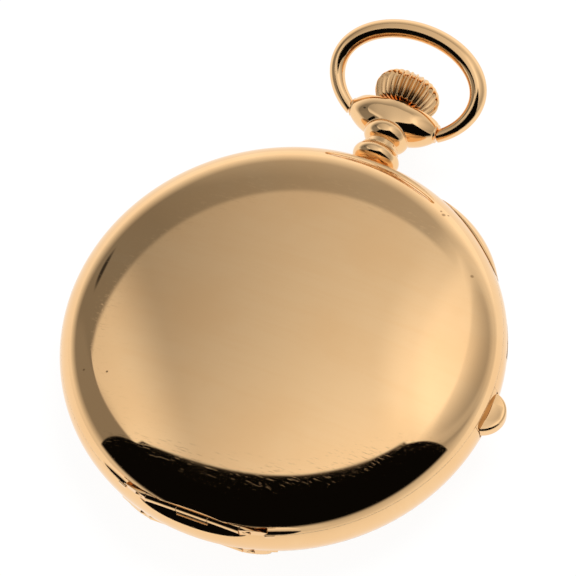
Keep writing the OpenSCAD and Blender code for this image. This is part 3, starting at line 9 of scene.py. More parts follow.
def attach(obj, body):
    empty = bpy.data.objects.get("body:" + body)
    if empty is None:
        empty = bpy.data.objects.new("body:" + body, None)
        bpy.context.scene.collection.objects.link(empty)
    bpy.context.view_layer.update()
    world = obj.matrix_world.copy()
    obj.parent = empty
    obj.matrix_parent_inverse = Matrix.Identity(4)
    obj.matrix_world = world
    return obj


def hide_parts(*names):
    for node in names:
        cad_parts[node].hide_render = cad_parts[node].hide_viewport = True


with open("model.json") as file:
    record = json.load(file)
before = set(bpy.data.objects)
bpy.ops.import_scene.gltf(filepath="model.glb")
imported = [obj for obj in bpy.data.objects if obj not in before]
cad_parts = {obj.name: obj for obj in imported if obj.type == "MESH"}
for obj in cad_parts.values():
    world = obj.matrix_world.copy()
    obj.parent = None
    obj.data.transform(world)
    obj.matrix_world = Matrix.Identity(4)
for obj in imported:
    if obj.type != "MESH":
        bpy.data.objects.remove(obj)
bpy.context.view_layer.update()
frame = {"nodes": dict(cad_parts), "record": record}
nodes = frame["nodes"]
mm = 0.001
print("frame loaded:", len(nodes), "nodes")


class Val:
    # one socket, so that shader maths reads as plain sums
    def __init__(self, maker, socket):
        self.maker = maker
        self.socket = socket

    def calc(self, operation, *values, clamp=False):
        settings = {"operation": operation, "use_clamp": clamp}
        return self.maker.node("ShaderNodeMath", settings, list(values))

    def __add__(self, other):
        return self.calc("ADD", self, other)

    def __radd__(self, other):
        return self.calc("ADD", other, self)

    def __sub__(self, other):
        return self.calc("SUBTRACT", self, other)

    def __rsub__(self, other):
        return self.calc("SUBTRACT", other, self)

    def __mul__(self, other):
        return self.calc("MULTIPLY", self, other)

    def __rmul__(self, other):
        return self.calc("MULTIPLY", other, self)

    def __truediv__(self, other):
        return self.calc("DIVIDE", self, other)

    def __pow__(self, other):
        return self.calc("POWER", self, other)

    def __neg__(self):
        return self.calc("MULTIPLY", self, -1.0)

    def clamped(self):
        return self.calc("ADD", self, 0.0, clamp=True)

    def least(self, other):
        return self.calc("MINIMUM", self, other)

    def most(self, other):
        return self.calc("MAXIMUM", self, other)

    def size(self):
        return self.calc("ABSOLUTE", self)

    def ramp(self, low, high, start=0.0, end=1.0):
        settings = {"interpolation_type": "SMOOTHSTEP", "clamp": True}
        return self.maker.node("ShaderNodeMapRange", settings, [self, low, high, start, end])


class Finish:
    # a node tree with one method that adds any node
    def __init__(self, tree):
        self.tree = tree
        tree.nodes.clear()

    def node(self, kind, settings=None, values=(), output=0):
        made = self.tree.nodes.new(kind)
        for name, value in (settings or {}).items():
            setattr(made, name, value)
        pairs = values.items() if isinstance(values, dict) else enumerate(values)
        for key, value in pairs:
            if isinstance(value, Val):
                self.tree.links.new(value.socket, made.inputs[key])
            elif value is not None:
                made.inputs[key].default_value = value
        return Val(self, made.outputs[output]) if made.outputs else None

    def place(self, turn=(0.0, 0.0, 0.0), scale=(1.0, 1.0, 1.0)):
        here = self.node("ShaderNodeTexCoord", output="Object")
        return self.node("ShaderNodeMapping", None, {"Vector": here, "Rotation": turn, "Scale": scale})

    def noise(self, vector, scale, detail=2.0, rough=0.5):
        values = {"Vector": vector, "Scale": scale, "Detail": detail, "Roughness": rough}
        return self.node("ShaderNodeTexNoise", None, values)

    def mix(self, factor, first, second):
        return self.node("ShaderNodeMix", {"data_type": "RGBA"}, {0: factor, 6: first, 7: second}, output=2)

    def dot(self, first, second):
        settings = {"operation": "DOT_PRODUCT"}
        return self.node("ShaderNodeVectorMath", settings, [first, second], output="Value")

    def bump(self, height, depth, strength=1.0, normal=None):
        values = {"Strength": strength, "Distance": depth, "Height": height, "Normal": normal}
        return self.node("ShaderNodeBump", None, values)

    def surface(self, values):
        shader = self.node("ShaderNodeBsdfPrincipled", None, values)
        self.node("ShaderNodeOutputMaterial", None, [shader])


def rgb(red, green, blue):
    # a colour as read on a screen, turned to the linear one that a socket takes
    parts = []
    for value in (red, green, blue):
        value = value / 255
        parts.append(value / 12.92 if value <= 0.04045 else ((value + 0.055) / 1.055) ** 2.4)
    return (*parts, 1.0)


def newMaterial(name):
    made = bpy.data.materials.new(name)
    made.use_nodes = True
    return made, Finish(made.node_tree)


def wornEdge(finish, reach):
    # 0 on open faces, 1 along sharp edges
    soft = finish.node("ShaderNodeBevel", {"samples": 4}, [reach])
    true = finish.node("ShaderNodeNewGeometry", output="Normal")
    return finish.dot(soft, true).ramp(0.995, 0.86), soft


# gold
goldLook = {
    "colour": rgb(245, 203, 151),
    "warm": rgb(243, 198, 144),
    "edge": rgb(250, 216, 170),
    "roughness": 0.028,
    "haze": 0.05,
    # painted shade for the depth of the crown's flutes
    "paintedFluteShade": rgb(104, 66, 30),
    "nick": rgb(120, 84, 46),
    "cloudScale": 90.0,
    "waveScale": 260.0,
    "bumpDepth": 0.000004,
    "edgeReach": 0.00012,
    "scratchTurn": math.radians(21),
    "scratchFlow": (300.0, 9000.0, 3000.0),
    "hairTurn": math.radians(21) + 0.4,
    "hairFlow": (500.0, 15000.0, 5000.0),
    "rubFlow": (60.0, 900.0, 300.0),
    # x, y and radius of each nick on the front cover, in millimetres
    "coverNicks": [(12.7, 22.0, 0.36), (12.2, 22.4, 0.22), (13.2, 22.3, 0.2), (19.6, 14.9, 0.3),
                   (-20.1, -14.4, 0.22), (-17.1, -13.9, 0.2)],
}


def goldMaterial(name, nicks=(), fluteShaded=False):
    made, finish = newMaterial(name)
    look = goldLook
    place = finish.place()
    cloud = finish.noise(place, look["cloudScale"], 3.0)
    wipe = finish.noise(finish.place((0, 0, look["scratchTurn"]), look["scratchFlow"]), 1.0, 2.0, 0.6)
    hair = finish.noise(finish.place((0, 0, look["hairTurn"]), look["hairFlow"]), 1.0, 1.0)
    rub = finish.noise(finish.place((0, 0, look["scratchTurn"]), look["rubFlow"]), 1.0, 4.0, 0.65)
    scratch = (wipe.ramp(0.66, 0.74) + hair.ramp(0.69, 0.76)).clamped()
    edge, soft = wornEdge(finish, look["edgeReach"])
    mark = None
    for x, y, size in nicks:
        gap = finish.node("ShaderNodeVectorMath", {"operation": "DISTANCE"},
                          [finish.place(scale=(1, 1, 0)), (x * mm, y * mm, 0)], output="Value")
        dent = gap.ramp(size * mm, size * 0.3 * mm)
        mark = dent if mark is None else mark.most(dent)
    colour = finish.mix(cloud.ramp(0.35, 0.7), look["colour"], look["warm"])
    colour = finish.mix(edge * 0.6, colour, look["edge"])
    colour = finish.mix(rub.ramp(0.42, 0.72) * 0.5, colour, look["warm"])
    rough = look["roughness"] + cloud.ramp(0.4, 0.75) * look["haze"] * 0.5 + scratch * 0.12 + edge * 0.1
    rough = rough + rub.ramp(0.5, 0.8) * 0.01
    height = finish.noise(place, look["waveScale"], 1.0) * 0.6 - scratch * 0.25
    if fluteShaded:
        # painted shade in the flutes: their depth is kept on the crown's mesh, and the gold is darker and
        # rougher there
        paintedFluteShade = finish.node("ShaderNodeAttribute", {"attribute_name": "paintedFluteShade"}, output="Fac")
        colour = finish.mix(paintedFluteShade * 0.85, colour, look["paintedFluteShade"])
        rough = rough + paintedFluteShade * 0.25
    if mark is not None:
        colour = finish.mix(mark * 0.6, colour, look["nick"])
        rough = rough + mark * 0.3
        height = height - mark * 3.0
    normal = finish.bump(height, look["bumpDepth"], 0.5, soft)
    finish.surface({"Base Color": colour, "Metallic": 1.0, "Roughness": rough, "Normal": normal})
    return made


# the movement's metals, enamel, glass and rubies
stripes = {
    "turn": (0.0, 0.0, math.radians(35)),
    "scale": 105.0,
    "grain": (9000.0, 600.0, 4000.0),
}


def plateMaterial():
    made, finish = newMaterial("giltBrass")
    place = finish.place()
    settings = {"wave_type": "BANDS", "bands_direction": "X", "wave_profile": "SAW"}
    values = {"Vector": finish.place(stripes["turn"]), "Scale": stripes["scale"], "Distortion": 0.0}
    stripe = finish.node("ShaderNodeTexWave", settings, values, output=1)
    cloud = finish.noise(place, 220.0, 3.0)
    grain = finish.noise(finish.place(stripes["turn"], stripes["grain"]), 1.0, 2.0)
    edge, soft = wornEdge(finish, 0.0001)
    colour = finish.mix(cloud.ramp(0.35, 0.7), rgb(222, 196, 140), rgb(206, 176, 116))
    colour = finish.mix(edge * 0.7, colour, rgb(242, 222, 176))
    rough = 0.24 + cloud * 0.08 + grain * 0.08 - edge * 0.08
    normal = finish.bump(stripe + grain * 0.2, 0.00002, 0.5, soft)
    finish.surface({"Base Color": colour, "Metallic": 1.0, "Roughness": rough, "Normal": normal})
    return made


def steelMaterial(name, colour, shade, rough):
    made, finish = newMaterial(name)
    place = finish.place()
    cloud = finish.noise(place, 500.0, 3.0)
    grain = finish.noise(finish.place((0, 0, 0.5), (12000.0, 900.0, 6000.0)), 1.0, 2.0)
    edge, soft = wornEdge(finish, 0.00006)
    tint = finish.mix(cloud.ramp(0.35, 0.7), colour, shade)
    tint = finish.mix(edge * 0.5, tint, rgb(226, 228, 232))
    normal = finish.bump(grain, 0.000006, 0.4, soft)
    finish.surface({"Base Color": tint, "Metallic": 1.0, "Roughness": rough + grain * 0.1 + cloud * 0.06,
                    "Normal": normal})
    return made


def enamelMaterial():
    made, finish = newMaterial("enamel")
    place = finish.place()
    cloud = finish.noise(place, 120.0, 2.0)
    speck = finish.noise(place, 2600.0, 1.0)
    colour = finish.mix(cloud.ramp(0.3, 0.7), rgb(245, 242, 232), rgb(238, 234, 221))
    colour = finish.mix(speck.ramp(0.72, 0.78) * 0.35, colour, rgb(196, 184, 160))
    normal = finish.bump(finish.noise(place, 420.0, 1.0), 0.00001, 0.3)
    finish.surface({"Base Color": colour, "Roughness": 0.12 + cloud * 0.05, "Coat Weight": 0.6,
                    "Coat Roughness": 0.05, "Normal": normal})
    return made


def glassMaterial():
    made, finish = newMaterial("glass")
    place = finish.place()
    smear = finish.noise(place, 160.0, 3.0)
    scratch = finish.noise(finish.place((0, 0, 0.9), (300.0, 12000.0, 3000.0)), 1.0, 1.0).ramp(0.7, 0.76)
    rough = 0.01 + smear.ramp(0.5, 0.8) * 0.03 + scratch * 0.05
    finish.surface({"Base Color": rgb(250, 252, 252), "Roughness": rough, "IOR": 1.5,
                    "Transmission Weight": 1.0})
    return made


def rubyMaterial():
    made, finish = newMaterial("ruby")
    cloud = finish.noise(finish.place(), 1500.0, 2.0)
    colour = finish.mix(cloud, rgb(176, 22, 60), rgb(140, 12, 44))
    finish.surface({"Base Color": colour, "Roughness": 0.06 + cloud * 0.05, "Coat Weight": 0.5,
                    "Coat Roughness": 0.03})
    return made


goldPlain = goldMaterial("polishedGold")
goldCover = goldMaterial("coverGold", nicks=goldLook["coverNicks"])
# the crown's gold carries painted shade in its flutes
goldFluteShaded = goldMaterial("crownGold", fluteShaded=True)
gilt = plateMaterial()
steel = steelMaterial("polishedSteel", rgb(190, 192, 196), rgb(168, 170, 175), 0.18)
blued = steelMaterial("bluedSteel", rgb(44, 62, 132), rgb(30, 44, 104), 0.16)
enamel = enamelMaterial()
glass = glassMaterial()
ruby = rubyMaterial()
slotMaterial = {"gold": goldPlain, "glass": glass, "enamel": enamel, "blued_steel": blued, "steel": steel,
                "gilt_brass": gilt, "ruby": ruby}


def dress(piece, material):
    piece.data.materials.clear()
    piece.data.materials.append(material)


for part in frame["record"]["subparts"]:
    dress(nodes[part["node"]], slotMaterial[part["material_slot"]])
# the ends of these two pins show in the hinges
for name in ("front_hinge_pin", "back_hinge_pin"):
    dress(nodes[name], goldPlain)
print("materials on the nodes")

# new pieces, in millimetres
midHeight = 7.45


def meshObject(shell, name):
    data = bpy.data.meshes.new(name)
    shell.to_mesh(data)
    shell.free()
    made = bpy.data.objects.new(name, data)
    bpy.context.scene.collection.objects.link(made)
    return made


def finishMesh(shell, name, body, material, sharp=35.0):
    # a piece of the watch: face directions, smooth shading with sharp edges, its body and its material
    bmesh.ops.recalc_face_normals(shell, faces=shell.faces[:])
    made = meshObject(shell, name)
    made.data.shade_smooth()
    made.data.set_sharp_from_angle(angle=math.radians(sharp))
    made.data.materials.append(material)
    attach(made, body)
    return made


def loft(shell, sides, stations, place, join=False):
    # rings that a function places, each drawn out of the ring before it
    ring = bmesh.ops.create_circle(shell, segments=sides, radius=1.0)["verts"]
    edges = list(dict.fromkeys(edge for vert in ring for edge in vert.link_edges))
    firstEdges = edges
    turns = [math.tau * index / sides for index in range(sides)]
    for index, station in enumerate(stations):
        if index:
            drawn = bmesh.ops.extrude_edge_only(shell, edges=edges)["geom"]
            fresh = {item for item in drawn if isinstance(item, bmesh.types.BMVert)}
            ring = [next(edge.other_vert(vert) for edge in vert.link_edges if edge.other_vert(vert) in fresh)
                    for vert in ring]
            edges = [item for item in drawn if isinstance(item, bmesh.types.BMEdge)
                     and fresh.issuperset(item.verts)]
        for vert, turn in zip(ring, turns):
            vert.co = Vector(place(station, turn)) * mm
    if join:
        bmesh.ops.bridge_loops(shell, edges=firstEdges + edges)
    else:
        bmesh.ops.edgeloop_fill(shell, edges=firstEdges)
        bmesh.ops.edgeloop_fill(shell, edges=edges)


def spread(start, end, steps):
    return [start + (end - start) * step / steps for step in range(steps + 1)]


def arc(x, y, r, start, end, steps):
    # points of an arc, angles in degrees
    turns = [math.radians(turn) for turn in spread(start, end, steps)]
    return [(x + r * math.cos(turn), y + r * math.sin(turn)) for turn in turns]


def aroundNeck(point, turn):
    # a point given by radius and height on the neck's axis, turned about that axis
    return (point[0] * math.cos(turn), point[1], midHeight + point[0] * math.sin(turn))


# the neck and its head: one smooth body from the bow's pivots up to the crown
head = {
    "pivot": 35.1,
    "halfLength": 5.9,
    "middle": 2.98,
    "end": 1.05,
    "collar": 1.2,
    "low": 32.05,
    "rimFront": 36.38,
    "rimSide": 36.42,
    "cup": 2.6,
    "cupFoot": 1.95,
    "blend": 0.8,
    "rimLip": 0.03,
    "lip": 0.3,
    "lipOnArms": 2.0,
    "seat": 36.28,
    "bore": 1.24,
    "bead": (1.95, 29.05, 1.15),
    "knop": (1.5, 32.5, 1.5),
}


def softMost(first, second, blend):
    # the larger of two values, with the change between them rounded
    gap = max(blend - abs(first - second), 0.0) / blend
    return max(first, second) + gap * gap * blend * 0.25


def headReach(height, turn):
    # distance from the neck's axis to the head's surface: arms along X blended into a cup for the crown
    rise = (height - head["low"]) / (head["rimFront"] - head["low"])
    flare = math.sin(math.pi / 2 * min(max(rise, 0.0), 1.0)) ** 0.8
    cup = head["cupFoot"] + (head["cup"] - head["cupFoot"]) * flare
    low, high = 0.0, head["halfLength"]
    for _ in range(24):
        reach = (low + high) / 2
        along = abs(reach * math.cos(turn)) / head["halfLength"]
        thick = head["end"] + (head["middle"] - head["end"]) * (1 - along ** 3.0)
        # drawn in a little at the arm's end
        thick = thick * (1 - max(along - 0.94, 0.0) ** 2 * 60)
        across = reach * math.sin(turn)
        inside = along <= 1 and across ** 2 + (height - head["pivot"]) ** 2 <= thick ** 2
        low, high = (reach, high) if inside else (low, reach)
    return softMost(cup, low, head["blend"])


def makeHead():
    # each station is a kind of ring and its height, or its share of the way
    shell = bmesh.new()
    stations = [("side", share) for share in spread(0.0, 1.0, 60)]
    stations += [("rim", 0.12), ("rim", 0.3), ("flat", head["seat"] + 0.02)]
    stations += [("hole", head["seat"]), ("hole", head["low"])]

    def place(station, turn):
        kind, value = station
        arm = abs(math.cos(turn)) ** 4
        rim = head["rimFront"] + (head["rimSide"] - head["rimFront"]) * arm
        inner = head["cup"] - head["lip"] + head["lipOnArms"] * arm
        if kind == "side":
            height = head["low"] + (rim - head["low"]) * value
            return aroundNeck((headReach(height, turn), height), turn)
        if kind == "rim":
            outer = headReach(rim, turn)
            reach = outer + (inner - outer) * min(value * 3.3, 1.0)
            return aroundNeck((reach, rim + head["rimLip"] * (1 - value / 0.3)), turn)
        return aroundNeck((inner if kind == "flat" else head["bore"], value), turn)

    loft(shell, 360, stations, place, join=True)
    neck = [(head["bore"], 26.3), (1.74, 26.3), (1.74, 27.6), (1.98, 27.7)] + arc(*head["bead"], -78, 52, 14)
    neck += [(2.36, 30.08), (2.5, 30.15), (2.5, 30.34), (2.16, 30.46), (2.1, 31.1)]
    neck += arc(*head["knop"], -58, 62, 14) + [(2.1, 34.1), (head["bore"], 34.1)]
    loft(shell, 128, neck, aroundNeck, join=True)
    wide = head["collar"]
    end = head["halfLength"]
    collar = [(end - 0.4, 0.6), (end - 0.3, wide - 0.04), (end - 0.26, wide), (end - 0.06, wide),
              (end, wide - 0.06), (end, 0.55)]
    for side in (-1, 1):
        def onArm(point, turn):
            return (side * point[0], head["pivot"] + point[1] * math.cos(turn),
                    midHeight + point[1] * math.sin(turn))
        loft(shell, 64, collar, onArm)
    made = finishMesh(shell, "neckAndHead", "case", goldPlain)
    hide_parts("pendant")


crown = {
    "base": 36.95,
    "height": 4.2,
    "footRadius": 3.4,
    "footHeight": 0.16,
    "swell": 0.88,
    "barrel": 2.1,
    "shoulder": (2.38, 2.26, 1.9),
    "flutes": 28,
    "fluteDepth": 0.48,
    "fluteStart": 2.5,
}


def makeCrown():
    # a barrel with rounded flutes that run over its shoulder, with painted shade in their depth, strongest
    # towards the foot
    shell = bmesh.new()
    paintedFluteShade = shell.verts.layers.float.new("paintedFluteShade")
    flutes = crown["flutes"]
    foot = crown["footHeight"]
    profile = [(0.74, 0.0), (3.1, 0.0), (3.28, 0.04), (crown["footRadius"], foot)]
    for share in spread(0.0, 1.0, 10)[1:-1]:
        radius = crown["footRadius"] + crown["swell"] * math.sin(math.pi / 2 * share)
        profile.append((radius, foot + crown["barrel"] * share))
    profile += arc(*crown["shoulder"], 0, 78, 18) + [(radius, 4.18) for radius in (2.3, 1.9, 1.2, 0.6, 0.05)]
    profile = [(radius, min(height, crown["height"])) for radius, height in profile]

    def place(point, turn):
        radius, height = point
        depth = crown["fluteDepth"] * min(max((radius - crown["fluteStart"]) / 0.5, 0.0), 1.0)
        wave = abs(math.cos(flutes * turn / 2)) ** 1.7
        return aroundNeck((radius - depth * wave, crown["base"] + height), turn)

    loft(shell, flutes * 14, profile, place)
    # painted shade: how deep each point lies in a flute, fading up the crown towards its top
    for vert in shell.verts:
        x, y, z = vert.co.x / mm, vert.co.y / mm - crown["base"], vert.co.z / mm - midHeight
        wave = abs(math.cos(flutes * math.atan2(z, x) / 2)) ** 2.2
        low = min(max((3.1 - y) / 2.4, 0.25), 1.0)
        vert[paintedFluteShade] = wave * low if 0.02 < y < 4.1 else 0.0
    made = finishMesh(shell, "flutedCrown", "crown", goldFluteShaded, sharp=60.0)
    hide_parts("crown")


bow = {
    "pivot": 35.1,
    "lift": math.radians(28),
    "halfWidth": 9.5,
    "topRise": 6.4,
    "middle": 5.3,
    "lowRise": 7.12,
    "endTurn": 51.4,
    "topRadius": 1.2,
    "endRadius": 0.82,
    "face": 5.94,
}


def bowPath(turn):
    rise = bow["topRise"] if math.sin(turn) > 0 else bow["lowRise"]
    return Vector((bow["halfWidth"] * math.cos(turn), bow["middle"] + rise * math.sin(turn)))


def makeBow():
    shell = bmesh.new()
    start = -math.radians(bow["endTurn"])

    def place(turn, around):
        way = (bowPath(turn + 0.01) - bowPath(turn - 0.01)).normalized()
        rise = (math.sin(turn) - math.sin(start)) / (1 - math.sin(start))
        thick = bow["endRadius"] + (bow["topRadius"] - bow["endRadius"]) * math.sin(math.pi / 2 * rise)
        spot = bowPath(turn)
        x = spot.x + thick * math.cos(around) * way.y
        y = spot.y - thick * math.cos(around) * way.x
        z = thick * math.sin(around)
        # the ends are flat where they meet the head
        if turn < start + 0.35:
            x = max(x, bow["face"])
        if turn > math.pi - start - 0.35:
            x = min(x, -bow["face"])
        return (x, bow["pivot"] + y * math.cos(bow["lift"]) - z * math.sin(bow["lift"]),
                midHeight + y * math.sin(bow["lift"]) + z * math.cos(bow["lift"]))

    loft(shell, 40, spread(start, math.pi - start, 120), place)
    made = finishMesh(shell, "bowWire", "bow", goldPlain)
    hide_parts("bow")


# the case's own measures, as the covers share them
case = {
    "radius": 28.0,
    "rimRound": 5.5,
    "halfHeight": 7.55,
    "equator": 7.45,
    "band": 2.1,
    "wall": 0.65,
    "lipHeight": 1.0,
    "lipWidth": 1.3,
    "hingeIn": 1.55,
    "hingeRadius": 0.6,
    "knuckleGap": 0.06,
    "hingeRise": 0.4,
    "hingeLength": 21.0,
    "knuckles": 5,
    "pinRadius": 0.28,
    "pinPlay": 0.04,
    "gap": 0.1,
    "edgePastHinge": 0.2,
    "grooveTurn": -7.2,
    "grooveWire": 2.05,
    "grooveRing": 20.48,
    "groovePlace": (8.42, 13.92),
    "grooveTilt": -24.3,
    "scoopTurn": 22.0,
    "scoopRadius": 1.0,
    "scoopReach": 7.0,
    "scoopPlace": (-28.02, 3.036),
}
case["rimCentre"] = case["radius"] - case["rimRound"]
case["domeRadius"] = ((case["rimCentre"] ** 2 + case["halfHeight"] ** 2 - case["rimRound"] ** 2)
                      / (2 * (case["halfHeight"] - case["rimRound"])))
case["join"] = math.degrees(math.asin(case["rimCentre"] / (case["domeRadius"] - case["rimRound"])))
case["flange"] = case["rimCentre"] + math.sqrt(case["rimRound"] ** 2 - case["band"] ** 2)
case["hingeY"] = case["radius"] - case["hingeIn"]
case["hingeHeight"] = case["band"] + case["hingeRise"]
case["chord"] = case["hingeY"] - case["hingeRadius"] - case["gap"]


def rimAt(height):
    # radius of the case at a height from its middle
    return case["rimCentre"] + math.sqrt(case["rimRound"] ** 2 - height ** 2)


def surfaceArcs(inset, low):
    # the case surface in section, from a height up to the middle of the dome
    rim = case["rimRound"] - inset
    start = math.degrees(math.asin(low / rim))
    points = arc(case["rimCentre"], 0.0, rim, start, 90 - case["join"], 40)
    dome = case["domeRadius"] - inset
    centre = case["halfHeight"] - case["domeRadius"]
    return points + arc(0.0, centre, dome, 90 - case["join"], 90, 26)[1:]


def spun(profile, steps=360):
    # a solid of revolution about Z from points of radius and height
    shell = bmesh.new()
    verts = [shell.verts.new((radius * mm, 0, height * mm)) for radius, height in profile]
    edges = [shell.edges.new(pair) for pair in zip(verts, verts[1:])]
    bmesh.ops.spin(shell, geom=verts + edges, cent=(0, 0, 0), axis=(0, 0, 1), angle=math.tau, steps=steps,
                   use_merge=True)
    bmesh.ops.remove_doubles(shell, verts=shell.verts[:], dist=0.000001)
    return shell


def cutAway(shell, place, facing):
    # takes off what lies beyond a plane and closes the cut
    bmesh.ops.bisect_plane(shell, geom=shell.verts[:] + shell.edges[:] + shell.faces[:], dist=0.0000001,
                           plane_co=place, plane_no=facing, clear_outer=True)
    bmesh.ops.holes_fill(shell, edges=[edge for edge in shell.edges if edge.is_boundary], sides=0)


def bar(radius, low, high, y, z, sides=64):
    # a round bar along X
    shell = bmesh.new()
    turned = Matrix.Translation(Vector(((low + high) / 2, y, z)) * mm) @ Matrix.Rotation(math.pi / 2, 4, "Y")
    bmesh.ops.create_cone(shell, cap_ends=True, segments=sides, radius1=radius * mm, radius2=radius * mm,
                          depth=(high - low) * mm, matrix=turned)
    return shell


def block(low, high):
    # a block between two corners
    shell = bmesh.new()
    size = [(b - a) * mm for a, b in zip(low, high)]
    middle = [(a + b) / 2 * mm for a, b in zip(low, high)]
    bmesh.ops.create_cube(shell, size=1.0, matrix=Matrix.Translation(middle) @ Matrix.Diagonal((*size, 1)))
    return shell


def carve(base, steps):
    # booleans one after another, each given as an operation and a solid
    holders = []
    for operation, shell in [("BASE", base)] + steps:
        bmesh.ops.recalc_face_normals(shell, faces=shell.faces[:])
        holder = meshObject(shell, "carving")
        holders.append(holder)
        if operation != "BASE":
            cut = holders[0].modifiers.new("cut", "BOOLEAN")
            cut.operation = operation
            cut.object = holder
            cut.solver = "EXACT"
    view = bpy.context.evaluated_depsgraph_get()
    carved = bmesh.new()
    carved.from_object(holders[0], view)
    for holder in holders:
        data = holder.data
        bpy.data.objects.remove(holder)
        bpy.data.meshes.remove(data)
    return carved


def thumbGroove():
    # the ring whose outside cuts the groove under the neck
    shell = bmesh.new()
    upright = Matrix.Translation((case["grooveRing"] * mm, 0, 0)) @ Matrix.Rotation(math.pi / 2, 4, "X")
    wire = bmesh.ops.create_circle(shell, segments=80, radius=case["grooveWire"] * mm, matrix=upright)
    bmesh.ops.spin(shell, geom=wire["verts"] + shell.edges[:], cent=(0, 0, 0), axis=(0, 0, 1),
                   angle=math.tau, steps=240, use_merge=True)
    place = Matrix.Rotation(math.radians(case["grooveTurn"]), 4, "Z")
    place = place @ Matrix.Translation(Vector((0, *case["groovePlace"])) * mm)
    place = place @ Matrix.Rotation(math.radians(case["grooveTilt"]), 4, "X")
    bmesh.ops.transform(shell, matrix=place, verts=shell.verts[:])
    return shell


def makeCover(name, node, body, material, back=False):
    # the dome and rim as one shell, then its hollow, groove, scoops, knuckles and pin hole
    shell = spun([(0, case["band"])] + surfaceArcs(0.0, case["band"]))
    cutAway(shell, (0, -(case["hingeY"] + case["edgePastHinge"]) * mm, 0), (0, -1, 0))
    lip = case["flange"] - case["lipWidth"]
    ledge = case["band"] + case["lipHeight"] + 0.5
    under = case["band"] - 1
    hollow = spun([(0, under), (lip, under), (lip, ledge)] + surfaceArcs(case["wall"], ledge), 180)
    cutAway(hollow, (0, -(case["chord"] - case["wall"]) * mm, 0), (0, -1, 0))
    steps = [("DIFFERENCE", hollow), ("DIFFERENCE", thumbGroove())]
    for side in (-1, 1):
        scoop = bar(case["scoopRadius"], -case["scoopReach"], case["scoopReach"], *case["scoopPlace"])
        turn = Matrix.Rotation(math.radians(side * case["scoopTurn"]), 3, "Z")
        bmesh.ops.rotate(scoop, matrix=turn, verts=scoop.verts[:])
        steps.append(("DIFFERENCE", scoop))
    y, z = case["hingeY"], case["hingeHeight"]
    half = case["hingeLength"] / 2
    steps.append(("DIFFERENCE", bar(case["hingeRadius"] + case["gap"], -half - 0.1, half + 0.1, -y, z)))
    knuckle = case["hingeLength"] / case["knuckles"]
    for index in range(1, case["knuckles"], 2):
        low = -half + index * knuckle + case["knuckleGap"] / 2
        high = low + knuckle - case["knuckleGap"]
        web = block((low, -y, case["band"] + 0.06), (high, -case["chord"] + 0.15, z + 0.26))
        steps += [("UNION", web), ("UNION", bar(case["hingeRadius"], low, high, -y, z))]
    bore = bar(case["pinRadius"] + case["pinPlay"], -case["radius"], case["radius"], -y, z, 32)
    cover = carve(shell, steps + [("DIFFERENCE", bore)])
    if back:
        bmesh.ops.scale(cover, vec=(1, 1, -1), verts=cover.verts[:])
        cutAway(cover, (0, 0, -case["equator"] * mm), (0, 0, -1))
    bmesh.ops.translate(cover, vec=(0, 0, case["equator"] * mm), verts=cover.verts[:])
    made = finishMesh(cover, name, body, material, sharp=9.0)
    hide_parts(node)


slide = {
    "start": 21.0,
    "span": 29.0,
    "proud": 0.7,
    "halfHeight": 2.0,
    "tongueIn": 25.5,
    "tongueHalf": 0.5,
    "tongueShort": 5.5,
}


def makeSlide():
    # a crescent with a rounded face, and the tongue that runs in the band's slot
    shell = bmesh.new()
    middle = math.radians(90 - slide["start"] - slide["span"] / 2)
    half = math.radians(slide["span"] / 2)

    def crescent(way, turn):
        swell = max(1 - way * way, 0.0004)
        height = slide["halfHeight"] * swell ** 0.3 * math.cos(turn)
        reach = rimAt(height) + 0.04
        if math.sin(turn) > 0:
            reach += (slide["proud"] * swell + 0.02) * math.sin(turn) ** 0.8
        angle = middle + half * way
        return (reach * math.cos(angle), reach * math.sin(angle), midHeight + height)

    def tongue(angle, turn):
        turn += math.pi / 4
        reach = case["radius"] + 0.25 if math.cos(turn) > 0 else slide["tongueIn"]
        height = slide["tongueHalf"] if math.sin(turn) > 0 else -slide["tongueHalf"]
        return (reach * math.cos(angle), reach * math.sin(angle), midHeight + height)

    loft(shell, 48, spread(-1.0, 1.0, 96), crescent)
    short = half - math.radians(slide["tongueShort"])
    loft(shell, 4, spread(middle - short, middle + short, 24), tongue)
    made = finishMesh(shell, "slideCrescent", "repeating_slide", goldPlain, sharp=40.0)
    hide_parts("repeating_slide")


tab = {
    "width": 5.7,
    "height": 1.5,
    "inner": 27.75,
    "outer": 29.95,
    "rise": 0.35,
    "drop": 1.0,
    "ledgeIn": 27.1,
    "ledgeHalf": 2.97,
    "ledgeLow": 1.14,
    "ledgeHigh": 2.07,
    "stem": 0.5,
    "stemEnd": 20.2,
    "round": 0.32,
    "hollow": 6.0,
    "hollowOver": 5.85,
    "hollowAlong": 0.3,
}


